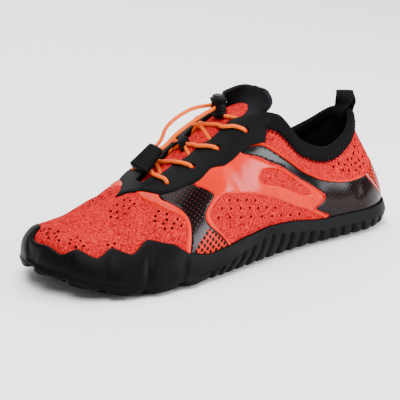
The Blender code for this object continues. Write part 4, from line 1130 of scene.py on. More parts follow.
class WATERSHOE_OT_upper(bpy.types.Operator):
    """Knit the upper: one sheet round the last with its holes cut through, over a black lining"""

    bl_idname = "watershoe.upper"
    bl_label = "Upper"

    # Columns round the ring, rows up the girth, and the distance that both keep from the holes
    COLUMNS, ROWS, CLEAR = 300, 44, 0.0016

    def execute(self, context):
        scale = np.array([PLAN_LENGTH / HALF_RING, PLAN_GIRTH])
        corners = np.array([[0, 0], [RING, 0], [RING, 1], [0, 1]], float)
        border = []
        for a, b, n in zip(corners, np.roll(corners, -1, axis=0), (self.COLUMNS, self.ROWS) * 2):
            border.append(a + (b - a) * np.linspace(0, 1, n, endpoint=False)[:, None])
        holes = [circle_loop(t, v, side, sizes().hole) * scale for t, v in HOLES for side in (-1, 1)]
        columns = np.linspace(0, RING, self.COLUMNS + 1)[1:-1]
        ring, girth = np.meshgrid(columns, np.linspace(0, 1, self.ROWS + 1)[1:-1])
        odd = (np.arange(len(ring)) % 2)[:, None]
        ring = ring + odd * RING / (2 * self.COLUMNS) - RING / (4 * self.COLUMNS)
        grid = np.stack([ring.ravel(), girth.ravel()], 1) * scale
        centres = np.array([hole.mean(0) for hole in holes])
        gaps = [np.linalg.norm(grid[part, None] - centres, axis=2).min(1) for part in parts(grid)]
        near = np.concatenate(gaps) < self.CLEAR
        flat, faces = cut_cloth([np.vstack(border) * scale, *holes], grid[~near])
        r, v = (flat / scale).T
        points = on_upper(r, v, 0.0)
        faces = face_out(points, faces)
        shoe_object(
            "upper_knit", points, faces, knit_finish(), cloth_place(r, v), node="upper", slot="mesh_fabric"
        )
        self.lining()
        return {"FINISHED"}

    def lining(self):
        girths = np.concatenate([[1.0], np.linspace(0, 1, 26)[::-1]])
        r, v = np.meshgrid(np.linspace(0, RING, 241)[:-1], girths)
        depth = np.full(r.shape, -WALL * 0.6 - 0.0004)
        depth[0] = 0.0
        points = on_upper(r, v, depth)
        faces = quads(*r.shape, closed=True)
        cloth = cloth_place(r.ravel(), v.ravel())
        shoe_object("upper_lining", points, faces, lining_finish(), cloth, slot="mesh_fabric")


class WATERSHOE_OT_films(bpy.types.Operator):
    """Weld the printed films to the upper: front band, dotted front, quarter, collar strip and heel"""

    bl_idname = "watershoe.films"
    bl_label = "Films"

    # Middle of the pale thread in front of the heel patch, a painted highlight along the heel film's front
    # edge, as shares of the half ring and of the girth
    EDGE_HIGHLIGHT = ((0.062, 0.06), (0.083, 0.13), (0.104, 0.215), (0.123, 0.32), (0.136, 0.42), (0.1435, 0.49))

    def execute(self, context):
        film = sizes().film
        # Films that meet lie at different heights, the orange ones on top
        under, over, top = film - 0.0001, film + 0.0001, film + 0.00022
        colour = colours().film
        spot = tint(colour, 0.75)
        black = (0.0022, 0.0016, 0.0016)
        orange = film_finish("orange_film", colour, 0.2)
        front = film_finish("dotted_front_film", black, 0.2, 0.11, tint(spot, 0.5), (4.1, 3.8), 0.28)
        heel = film_finish(
            "dotted_heel_film", black, 0.15, 0.11, tint(spot, 0.32), (3.8, 3.0), 0.24, (86.0, 76.0)
        )
        fade = film_finish("black_dotted_film", tint(colour, 0.95), 0.35, 0.05, black, (5.0, 4.6), 1.25)
        check = film_finish("checked_heel_film", tint(spot, 0.9), 0.3, 0.05, black, (5.4, 3.2), 0.95)
        clear = film_finish("clear_heel_film", colours().knit, 0.16, 0.3)
        front_edge = [*BAND_OUTER, *reversed(TAIL_OUTER), (0.640, 0.790), (0.665, 0.830)]
        film_piece("front_film", front_edge, front, under)
        film_piece("fade_film", FADE, fade, over)
        film_piece("heel_film", [*HEEL_FRONT, *HEEL_BACK, *HEEL_TOP], heel, under)
        film_piece("heel_patch", PATCH, check, film)
        film_piece("heel_clear", HEEL_CLEAR, clear, under)
        film_piece("front_band", [*BAND_INNER, *reversed(BAND_OUTER)], orange, top)
        film_piece("quarter_film", [*TAIL_OUTER, *TAIL_INNER, *QUARTER_TOP], orange, top, [QUARTER_WINDOW])
        film_piece("collar_strip_film", [*STRIP_LOW, *HEEL_TOP], orange, top)
        t, v = resample(self.EDGE_HIGHLIGHT, 40).T
        paths = [on_upper(ring_place(side, t), v, film * 0.8) for side in (-1, 1)]
        # Pale thread whose colour paints the highlight along the heel film's front edge
        highlight_thread = thread_finish("painted_edge_highlight", (0.50, 0.36, 0.33))
        tubes("heel_edge_highlight", paths, 0.00042, highlight_thread, 8, slot="black_fabric")
        return {"FINISHED"}


# Eyestay and collar

# Height of the eyestay's face over the skin
EYESTAY_FACE = 0.3 * CLEARANCE + OVERLAY_THICKNESS


class WATERSHOE_OT_eyestay(bpy.types.Operator):
    """Cut the scalloped black eyestay and punch its eyelets"""

    bl_idname = "watershoe.eyestay"
    bl_label = "Eyestay"

    def execute(self, context):
        half = np.linspace(EYESTAY_START, EYESTAY_LOW[-1][0], 260)
        shares = np.concatenate(
            [[0, 0.006, 0.016, 0.03], np.linspace(0.05, 0.95, 38), [0.97, 0.984, 0.994, 1.0]]
        )
        slant = EYESTAY_SLANT * np.clip((0.51 - half) / (0.51 - EYESTAY_START), 0, 1)
        tt = half + slant * (1 - shares[:, None]) ** 0.8
        low_edge = smooth_rows(np.array(EYESTAY_LOW), tt.ravel()).reshape(tt.shape)
        high_edge = eyestay_inner_edge(tt)
        vv = low_edge + (high_edge - low_edge) * shares[:, None]
        ends = (half - half[0]) * PLAN_LENGTH
        points, faces, cloth = [], [], []
        for side in (-1, 1):
            rr = ring_place(side, tt)
            span = girth_run(rr, vv) - girth_run(rr, low_edge)
            rest = girth_run(rr, high_edge) - girth_run(rr, vv)
            closed = np.abs(no_overshoot(GAP_RING, rr[-1])) < 1e-7
            edge = np.where(closed, np.minimum(span, ends), np.minimum(np.minimum(span, rest), ends))
            lift = -0.0002 + (EYESTAY_FACE + 0.0002) * smoothstep(edge / 0.0008) ** 0.6
            skin_at = skin(rr, vv)
            for t, _, _ in LACING:
                gap = np.linalg.norm(skin_at - skin(float(ring_place(side, t)), EYELET_GIRTH), axis=-1)
                lift = lift + 0.00018 * np.exp(-(((gap - 0.0026) / 0.0006) ** 2))
                lift = lift - 0.0026 * smoothstep((EYELET_RADIUS * 1.12 - gap) / 0.0007)
            faces += quads(*tt.shape, start=len(points) * tt.size, flip=side > 0)
            points.append(world(offset_skin(rr, vv, lift)))
            cloth.append(cloth_place(rr.ravel(), vv.ravel()))
        cloth = np.vstack(cloth)
        black = trim_finish()
        fix_sides(shoe_object("eyestay_cut", points, faces, black, cloth, node="eyestay", slot="black_fabric"))
        self.front()
        self.seam()
        return {"FINISHED"}

    def front(self):
        """The part of the eyestay that closes the throat in front, over the ridge of the vamp."""
        lift = EYESTAY_FACE + 0.00025
        share = np.linspace(0, 1, 31)
        back = 0.716 - 0.024 * (2 * share - 1) ** 2
        rows = []
        for f in np.linspace(0, 1, 26):
            tt = back + (0.774 - back) * f
            low = np.clip(smooth_rows(np.array(EYESTAY_LOW), tt) + 0.02, 0.90, 0.994)
            edge = smoothstep(min(f, 1 - f) / 0.05) * smoothstep(np.minimum(share, 1 - share) / 0.06)
            own = []
            for side in (-1, 1):
                r = ring_place(side, tt)
                first = offset_skin(r, low, lift - 0.0006 * (1 - edge))
                second = offset_skin(r, np.minimum(low + 0.03, 0.999), lift - 0.0006 * (1 - edge))
                own.append((first, unit(second - first)))
            (a, to_b), (d, to_c) = own
            gap = np.linalg.norm(d - a, axis=1, keepdims=True) / 3
            b, c = a + to_b * gap, d + to_c * gap
            s = share[:, None]
            rows.append((1 - s) ** 3 * a + 3 * (1 - s) ** 2 * s * b + 3 * (1 - s) * s * s * c + s**3 * d)
        grid = world(np.array(rows))
        faces = quads(*grid.shape[:2])
        cloth = grid.reshape(-1, 3) * 1000
        fix_sides(shoe_object("eyestay_front", grid, faces, trim_finish(), cloth, slot="black_fabric"))

    def seam(self):
        """A row of fine stitches just inside the eyestay's lower edge."""
        pitch, length, knots = 0.0028, 0.0020, 5
        half = np.linspace(EYESTAY_START + 0.004, 0.735, 900)
        v = smooth_rows(np.array(EYESTAY_LOW), half) + 0.0019 / PLAN_GIRTH
        paths = []
        for side in (-1, 1):
            r = ring_place(side, half)
            line = world(offset_skin(r, v, np.full(r.shape, CLEARANCE + OVERLAY_THICKNESS - 0.0001)))
            run = run_of(line)
            for start in np.arange(0, run[-1] - 0.0026, pitch):
                stitch = at_run(np.linspace(start, start + length, knots), run, line)
                stitch[:, 2] += 0.00012 * np.sin(np.linspace(0, math.pi, knots))
                paths.append(stitch)
        black = thread_finish("black_thread", (0.006, 0.006, 0.0065))
        tubes("eyestay_stitches", paths, sizes().thread * 0.42, black, 5, slot="black_fabric")


class WATERSHOE_OT_collar(bpy.types.Operator):
    """Fold the stretch binding over the collar edge and sew it down with a zigzag"""

    bl_idname = "watershoe.collar"
    bl_label = "Collar"

    def execute(self, context):
        half = np.linspace(0, EYESTAY_START + 0.024, 166)
        r = np.concatenate([ring_place(-1, half[::-1]), ring_place(1, half[1:])])
        share = half_share(r)[0]
        length = np.linalg.norm(skin(r, 1.0) - skin(r, 0.9), axis=1) / 0.1
        down = table_at(CUFF_DEPTHS, share) / length
        far = 1.5 * CLEARANCE + CUFF_THICKNESS
        inner = -WALL - 1.6 * CLEARANCE - CUFF_THICKNESS
        # Round the rim, from the lower edge outside to the one inside: share of the depth, offset, lift
        section = (
            (1.0, 0.0002, 0.0), (1.0, 0.6 * far, 0.0), (0.96, 0.88 * far, 0.0), (0.85, far, 0.0),
            (0.6, 1.08 * far, 0.0), (0.3, 1.05 * far, 0.0), (0.08, 0.95 * far, 0.0),
            (0.0, 0.85 * far, 0.35 * far), (0.0, 0.2 * far, 0.85 * far), (0.0, -0.5 * WALL, far),
            (0.0, 0.6 * inner, 0.8 * far), (0.0, 0.95 * inner, 0.2 * far), (0.2, inner, 0.0),
            (0.5, 1.06 * inner, 0.0), (0.72, inner, 0.0), (0.78, 0.7 * inner, 0.0),
        )
        thin = 1 - 0.55 * smoothstep((share - CUFF_END + 0.004) / 0.012)
        wave = 0.00013 * np.sin(np.arange(len(r)) * 1.1)
        up = unit(skin(r, 1.0) - skin(r, 0.98)) * np.array([-1, 1, 1])
        rows = []
        for depth, offset, lift in section:
            offsets = (offset + wave * (0.2 < depth < 0.9)) * thin
            rows.append(world(offset_skin(r, 1.0 - down * depth, offsets)) + up * lift * thin[:, None])
        grid = resample(rows, 46)
        cloth = np.meshgrid(run_of(grid[10]) * 1000, run_of(grid[:, 50]) * 1000)
        cloth = np.stack(cloth, -1).reshape(-1, 2)
        faces = quads(*grid.shape[:2])
        shoe_object(
            "collar_binding", grid, faces, jersey_finish(), cloth, node="collar_cuff", slot="stretch_fabric"
        )
        self.zigzag(r, down, far)
        return {"FINISHED"}

    def zigzag(self, r, down, far):
        """Thread that crosses the binding's lower edge in a zigzag."""
        columns = np.arange(len(r))
        run = run_of(offset_skin(r, 1.0 - down, np.full(r.shape, 0.0)))
        count = int(run[-1] / (sizes().stitch / 2))
        order = np.interp(np.linspace(0, run[-1], count * 4 + 1), run, columns)
        wave = np.abs((np.arange(len(order)) / 4 % 2) - 1) * 2 - 1
        # The ring places wrap at the heel, so they are counted on from there
        ring = np.interp(order, columns, np.where(r > HALF_RING, r - RING, r)) % RING
        girth = 1.0 - np.interp(order, columns, down) * (1.02 + 0.16 * wave)
        lift = np.where(wave < 0, far, 0.00035 + (far - 0.00035) * smoothstep((0.2 - wave) / 0.4))
        path = world(offset_skin(ring, girth, lift + 0.0001))
        black = thread_finish("black_thread_bold", (0.0025, 0.0025, 0.0028))
        tubes("collar_zigzag", [path], sizes().thread * 0.62, black, 6, slot="stretch_fabric")


# Sole

# How much lower the toe cap is on the inner side of the big toe
TOE_CUT = 0.0010


def sole_grooves(t, pod_width=0.10):
    """Depth share of the grooves between ribs and front pods, and one rib as a share of the ring."""
    places = np.linspace(0, 1, 600)
    run = run_of(catmull(FEATHER_RING, ring_place(-1, places)))
    ribbed = np.interp(RIBBED_SHARE, places, run)
    pitch = ribbed / int(round(ribbed / RIB_PITCH))
    at = np.interp(t, places, run)
    phase = at / pitch
    rib = np.exp(-(((phase - np.round(phase)) / 0.15) ** 2))
    pods = max(1, int(round((run[-1] - ribbed) / POD_PITCH)))
    front = (at - ribbed) / (run[-1] - ribbed) * pods
    pod = np.exp(-(((front - np.round(front)) / pod_width) ** 2))
    return np.where(at < ribbed, rib, pod), pitch / run[-1]


def across_foot(edge, count, shares):
    """Rows of points across the foot, from each point of the edge's outer half to the one opposite."""
    partner = [(len(edge) - k) % len(edge) for k in range(count)]
    return np.array([edge[:count] * (1 - share) + edge[partner] * share for share in shares])


class WATERSHOE_OT_sole(bpy.types.Operator):
    """Mould the rubber cup: wavy rand, ribbed side, floor and lugs"""

    bl_idname = "watershoe.sole"
    bl_label = "Sole"

    # Ribbed part of the side, downwards: share of its height, share of the groove's depth, thickness
    RIBBED = (
        (0.0, 0.0, 1.0), (0.03, 0.5, 1.03), (0.08, 0.95, 1.06), (0.18, 1.0, 1.06), (0.3, 1.0, 1.05),
        (0.42, 1.0, 1.03), (0.54, 1.0, 1.0), (0.66, 1.0, 0.95), (0.78, 1.0, 0.86), (0.88, 0.9, 0.74),
        (0.96, 0.75, 0.6), (1.0, 0.6, 0.42),
    )
    # A lug, downwards: how far in, and height as a share of LUG_DEPTH
    LUG = (
        (0.0, 1.25), (0.0, 0.35), (0.0003, 0.1), (0.0008, 0.0), (0.0022, 0.0), (0.0030, 0.25), (0.0040, 0.25)
    )

    def execute(self, context):
        half = np.linspace(0, 1, 521)
        r = both_sides(half)
        t = np.concatenate([half, half[-2:0:-1]])
        pitch_share = sole_grooves(t)[1]
        rand = rand_height(r) - TOE_CUT * np.exp(-(((r - HALF_RING - 0.9) / 0.6) ** 2))
        low = feather(r)
        floor = spring(low[:, 0])
        rib_top = np.maximum(table_at(RIB_TOP, t) * RAND_HEIGHT, 0.25 * low[:, 2]) + floor
        root = floor + LUG_DEPTH
        front = smoothstep((t - RIBBED_SHARE) / 0.05)

        def grooves(slant, pod_width=0.10):
            return sole_grooves(np.clip(t - slant, 0, 1), pod_width)[0]

        rows = [offset_skin(r, girth_at_height(r, rand), np.full(r.shape, 0.0001))]
        for share, thick in ((1.0, 0.55), (0.985, 0.86), (0.965, 1.0)):
            height = rib_top + (rand - rib_top) * share
            rows.append(side_wall(r, height, np.full(r.shape, thick * RAND_THICKNESS - CLEARANCE * 0.5)))
        for share in np.linspace(0.93, 0.06, 14):
            height = rib_top + (rand - rib_top) * share
            thick = RAND_THICKNESS + (FOXING_THICKNESS - RAND_THICKNESS) * (1 - share) ** 1.25
            crease = grooves(-0.020 * share) * front * np.sin(math.pi * min(1.0, 1.15 * share)) * 0.0011
            rows.append(side_wall(r, height, thick - crease))
        for down, depth, thick in self.RIBBED:
            groove = grooves(table_at(RIB_SLANT, t) * pitch_share * down)
            lobe = front * (1 - grooves(0.012 * down, 0.24))
            height = rib_top + (root - rib_top) * down + (groove * 0.0013 + lobe * 0.0006) * down**2
            thick = thick + (0.95 - thick) * lobe * (down > 0.6) + 0.28 * lobe * down
            wall = FOXING_THICKNESS * thick - groove * RIB_DEPTH * depth * (1.0 + 0.9 * front)
            rows.append(side_wall(r, height, wall))
        edge = rows[-1]
        for inset in (0.0016, TREAD_INSET):
            ring = edge - outward(r) * inset
            ring[:, 2] = spring(ring[:, 0]) + LUG_DEPTH
            rows.append(ring)
        strips = across_foot(rows[-1], len(half), np.linspace(0, 1, 9))
        strips[..., 2] = spring(strips[..., 0]) + LUG_DEPTH
        points = world(np.vstack([*rows, *strips]))
        faces = quads(len(rows), len(r), closed=True)
        faces += quads(len(strips), len(half), start=len(rows) * len(r), flip=True)
        shoe_object("rubber_cup", points, faces, rubber_finish(), node="outsole", slot="rubber")
        self.lugs()
        return {"FINISHED"}

    def lugs(self):
        """Pads under the toes, then bars across the foot with a flex groove along the middle."""

        def inset_edge(places, inset):
            return feather(places) - outward(places) * inset

        outlines = []
        marks = [(-1, 0.835), (-1, 0.885), (-1, 0.935), (-1, 0.98), (1, 0.975), (1, 0.88)]
        for start, end in zip(marks, marks[1:]):
            a, b = (float(ring_place(*mark)) % RING for mark in (start, end))
            edge = np.linspace(a + 0.006 * HALF_RING, b - 0.006 * HALF_RING, 8)
            outer = inset_edge(edge, TREAD_INSET)
            outlines.append(np.vstack([outer, inset_edge(edge[::-1], TREAD_INSET + 0.019)]))
        bars = np.concatenate(
            [np.linspace(0.075, 0.28, 5), np.linspace(0.345, 0.52, 4), np.linspace(0.585, 0.79, 5)]
        )
        for t in bars:
            edge = np.linspace(t, t + 0.036, 5)
            for side in (-1, 1):
                outside, other = (inset_edge(ring_place(each, edge), TREAD_INSET) for each in (side, -side))
                middle = (outside + other) / 2
                middle[:, 1] += 0.0015 * side
                outlines.append(np.vstack([outside, middle[::-1]]))
        points, faces = [], []
        for outline in outlines:
            toward = outline.mean(0) - outline
            reach = np.linalg.norm(toward[:, :2], axis=1, keepdims=True)
            start = sum(len(p) for p in points)
            for inset, up in self.LUG:
                ring = outline + toward * np.minimum(inset / reach, 0.9)
                ring[:, 2] = spring(ring[:, 0]) + LUG_DEPTH * up
                points.append(ring)
            n = len(outline)
            faces += quads(len(self.LUG), n, closed=True, start=start)
            faces.append([start + (len(self.LUG) - 1) * n + k for k in range(n)])
        points = world(np.vstack(points))
        recalculate(shoe_object("tread_lugs", points, faces, rubber_finish(), slot="rubber", smooth_angle=40))


class WATERSHOE_OT_insole(bpy.types.Operator):
    """Lay in the fabric-topped foam insole, slightly dished"""

    bl_idname = "watershoe.insole"
    bl_label = "Insole"

    def execute(self, context):
        half = np.linspace(0, 1, 121)
        r = both_sides(half)
        edge = feather(r) - outward(r) * (WALL + 4 * CLEARANCE)
        shares = np.linspace(0, 1, 25)
        rows = across_foot(edge, len(half), shares)
        dish = 0.0016 * (2 * shares[:, None] - 1) ** 4
        rows[..., 2] = bed_height(rows[..., 0]) + CLEARANCE + INSOLE_THICKNESS + dish - 0.0004
        rim = [on_bed(edge, CLEARANCE + INSOLE_THICKNESS + 0.0012), on_bed(edge, CLEARANCE)]
        points = world(np.vstack([*rows, *rim]))
        faces = quads(*rows.shape[:2]) + quads(2, len(r), closed=True, start=rows.size // 3, flip=True)
        cloth = points[:, :2] * 1000
        shoe_object("insole_pad", points, faces, jersey_finish(), cloth, node="insole", slot="insole_foam")
        return {"FINISHED"}


# Tongue

# How far the inner half of its free top stands forward
TONGUE_LEAN = 0.013


def tongue_rows():
    """Middle sheet of the tongue, from under the vamp to its free top, in the last's frame."""
    hinge = np.linspace(TONGUE_START - 0.01, TONGUE_HINGE + 0.006, 16)
    rows = [tongue_row(t) for t in hinge]
    spread = np.array([-1.0, -0.8, -0.42, 0.0, 0.42, 0.8, 1.0])
    middle = rows[-1][3][1]
    for k, (along, height, half_width, wrap, drop) in enumerate(TONGUE_TOP):
        lean = TONGUE_LEAN * min(1.0, (k + 1) / 3)
        near = np.maximum(-spread, 0)
        far = np.maximum(spread, 0)
        x = along * LENGTH - wrap * BALL_WIDTH * spread**2 * (1 - 0.9 * near) + lean * far**1.5
        y = middle + half_width * BALL_WIDTH * spread * (1 - 0.10 * near)
        z = height * INSTEP_HEIGHT - drop * INSTEP_HEIGHT * spread**2 - 0.45 * lean * far**2
        rows.append(np.stack([x, y, z], 1))
    return np.array(rows)


class WATERSHOE_OT_tongue(bpy.types.Operator):
    """Pad the tongue: black jersey with a raised knit panel along its middle and a webbing keeper"""

    bl_idname = "watershoe.tongue"
    bl_label = "Tongue"

    def execute(self, context):
        rows, columns = 150, 64
        grid = world(resample_both(tongue_rows(), rows, columns))
        normal = grid_normals(grid)
        if normal[rows // 2, columns // 2, 2] < 0:
            normal = -normal
        c = np.linspace(-1, 1, columns)
        rim = np.minimum(1 - np.abs(c), (1 - np.linspace(0, 1, rows)[:, None]) * 2.4)
        thickness = TONGUE_THICKNESS * (0.45 + 0.5 * smoothstep(rim / 0.10))
        body = grid - normal * TONGUE_THICKNESS * 0.52
        run = run_of(grid[:, columns // 2])
        cloth = self.cloth(grid, run, c)
        jersey = jersey_finish("tongue_jersey", 3.4)
        padded_sheet("tongue_pad", body, thickness, jersey, cloth, node="tongue", slot="mesh_fabric")
        self.panel(grid, normal, run)
        self.keeper()
        return {"FINISHED"}

    def cloth(self, grid, run, spread):
        """Place on the cloth in millimetres, from a grid's run and its spread from -1 to 1."""
        width = np.linalg.norm(grid[:, -1] - grid[:, 0], axis=1)[:, None] / 2
        return np.stack([run[:, None] * 1000 * np.ones(len(spread)), spread * width * 1000], -1)

    def panel(self, grid, normal, run):
        """Raised red panel: full width between the laces, with a round end below the black top."""
        rows, columns = (np.arange(count) for count in grid.shape[:2])
        end = run[-1] - 0.0128
        places = np.linspace(0, end, 120)
        half = 0.58 * np.sqrt(1 - np.clip(1 - (end - places) / 0.019, 0, 1) ** 2)
        spread = np.linspace(-1, 1, 40)
        sheet = []
        for place_on, reach in zip(places, np.maximum(half, 0.01)):
            i = np.interp(place_on, run, rows)
            k = min(int(i), len(rows) - 2)
            c = np.interp(spread * reach, np.linspace(-1, 1, len(columns)), columns)
            f = i - k
            point, out = (at_run(c, columns, of[k] * (1 - f) + of[k + 1] * f) for of in (grid, normal))
            rise = smoothstep((1 - np.abs(spread)) / 0.16) * smoothstep((end - place_on) / 0.0012)
            sheet.append(point + out * (-0.0006 + 0.0011 * rise)[:, None])
        sheet = np.array(sheet)
        cloth = self.cloth(sheet, places, spread).reshape(-1, 2)
        knit = knit_finish("heather_knit_pad")
        faces = quads(*sheet.shape[:2])
        fix_sides(shoe_object("tongue_panel", sheet, faces, knit, cloth, slot="mesh_fabric"))

    def keeper(self):
        """Webbing tab under the middle crossing of the lace."""
        t = sum(LACING[2][1:]) / 2
        run = np.linalg.norm(throat_point(t + 0.01, 0.5) - throat_point(t - 0.01, 0.5)) / 0.02
        gap = np.linalg.norm(throat_point(t, 0.0) - throat_point(t, 1.0))
        share = np.linspace(-0.5, 0.5, 24)
        across = 0.62 + share * 1.25 * KEEPER_LENGTH / gap
        arch = KEEPER_THICKNESS / 2 + 0.0052 * (1 - (2 * np.abs(share)) ** 4)
        ends = np.linspace(-0.5, 0.5, 16) * KEEPER_WIDTH / run
        grid = world([[throat_point(t + end, f, up) for end in ends] for f, up in zip(across, arch)])
        uu, vv = np.meshgrid(ends * run * 1000, across * gap * 1000)
        thickness = np.full(grid.shape[:2], KEEPER_THICKNESS)
        cloth = np.stack([vv, uu], -1)
        padded_sheet(
            "keeper_webbing", grid, thickness, webbing_finish(), cloth, node="tongue_keeper",
            slot="black_fabric",
        )


# Laces

# Runs from the outer and the inner eyelets: place on their own throat edge, on the far one, and
# the share of the way at which the two runs meet
RUNS_OUTER = ((0.648, 0.672, 0.82), (0.600, 0.626, 0.56), (0.540, 0.566, 0.78))
RUNS_INNER = ((0.665, 0.682, 0.18), (0.607, 0.622, 0.44), (0.556, 0.574, 0.22))


# Middle of a lace over the eyestay's face, into which it sinks a little
LACE_REST = CLEARANCE * 0.3 + OVERLAY_THICKNESS + LACE_DIAMETER * 0.44
LACE_SIDES = 14
PATH_STEP = 0.0007


def crossing_path(side, eyelet, edge, duck, meet, over):
    """One run of the lace: up through its eyelet, over the throat edge, across, and under the other edge."""
    on_pad = LACE_DIAMETER / 2 + 0.0006

    def across(share, lift):
        return throat_point(edge + (duck - edge) * share, share if side < 0 else 1 - share, lift)

    knots = [
        skin_point(side, eyelet, EYELET_GIRTH - 0.004, -0.0014),
        skin_point(side, eyelet + 0.15 * (edge - eyelet), EYELET_GIRTH + 0.014, LACE_REST * 0.8),
        skin_point(side, eyelet + 0.55 * (edge - eyelet), 0.925, LACE_REST),
        skin_point(side, edge, 0.995, LACE_REST + 0.0004),
        across(0.22, on_pad + 0.0008),
        across(meet - 0.14, on_pad + 0.3 * over),
        across(meet, on_pad + over),
        across(meet + 0.12, on_pad + 0.4 * over),
        across(1.0, 0.0006),
        across(1.06, -0.0022),
    ]
    return smooth_path(knots, PATH_STEP)


def joined_tubes(name, paths, node):
    """The runs of one crossing as one piece."""
    made = tubes(
        name, [world(p) for p in paths], LACE_DIAMETER / 2, lace_finish(), LACE_SIDES, slot="lace_cord"
    )
    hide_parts(node)


class WATERSHOE_OT_lacing(bpy.types.Operator):
    """Lace the shoe: a bar in front and three crossings"""

    bl_idname = "watershoe.lacing"
    bl_label = "Lacing"

    def execute(self, context):
        eyelet, edge, _ = LACING[0]
        ends = []
        for side in (-1, 1):
            ends.append([
                skin_point(side, eyelet, EYELET_GIRTH - 0.004, -0.0012),
                skin_point(side, eyelet, EYELET_GIRTH + 0.006, LACE_REST * 0.62),
                skin_point(side, eyelet * 0.8 + edge * 0.2, EYELET_GIRTH + 0.04, LACE_REST),
                skin_point(side, edge, 0.99, LACE_REST + 0.0002),
            ])
        middle = throat_point(edge, 0.5, CLEARANCE + LACE_DIAMETER / 2 + OVERLAY_THICKNESS)
        joined_tubes("front_bar", [smooth_path([*ends[0], middle, *ends[1][::-1]], PATH_STEP)], "lace_bar")
        for place_on, (eyelet, _, _), outer, inner in zip(
            ("front", "middle", "top"), LACING[1:], RUNS_OUTER, RUNS_INNER
        ):
            paths = [crossing_path(-1, eyelet, *outer, 0.0024), crossing_path(1, eyelet, *inner, -0.0004)]
            joined_tubes(f"{place_on}_crossing", paths, f"lace_cross_{place_on}")
        return {"FINISHED"}


def lock_middle():
    """Middle of the cord lock, which stands on the crown of the tongue."""
    t = LACING[3][1]
    foot = throat_point(t, 0.5)
    run = np.linalg.norm(throat_point(t + 0.01, 0.5) - throat_point(t - 0.01, 0.5)) / 0.02
    under = [throat_point(t - share * LOCK_DEPTH / run, 0.5)[2] for share in (0.0, 0.25, 0.5)]
    return np.array([foot[0] - 4 * CLEARANCE, foot[1], max(under) + CLEARANCE + LOCK_HEIGHT / 2])


def clip_middle():
    return np.array([CLIP_PLACE[0] * LENGTH, 0.0, CLIP_PLACE[1] * INSTEP_HEIGHT])


def clip_turn():
    """Rotation of the clip: its narrow end points up the throat."""
    lean = Matrix.Rotation(math.radians(90 - CLIP_PITCH), 3, "Y")
    return lean @ Matrix.Rotation(math.radians(CLIP_ROLL), 3, "Z")


def loft(name, sections, material, smooth_angle=50, **kinds):
    """A closed body through even sections, given as rows of world points."""
    rows, columns = np.shape(sections)[:2]
    faces = quads(rows, columns, closed=True)
    faces += [list(range(columns))[::-1], [(rows - 1) * columns + k for k in range(columns)]]
    made = shoe_object(name, sections, faces, material, smooth_angle=smooth_angle, **kinds)
    recalculate(made)
    return made


def squircle(half_x, half_y, count=40, power=3.2):
    """Outline between a rounded box and an oval."""
    angle = np.linspace(0, 2 * math.pi, count, endpoint=False)
    c, s = np.cos(angle), np.sin(angle)
    return np.stack(
        [half_x * np.sign(c) * np.abs(c) ** (2 / power), half_y * np.sign(s) * np.abs(s) ** (2 / power)], 1
    )


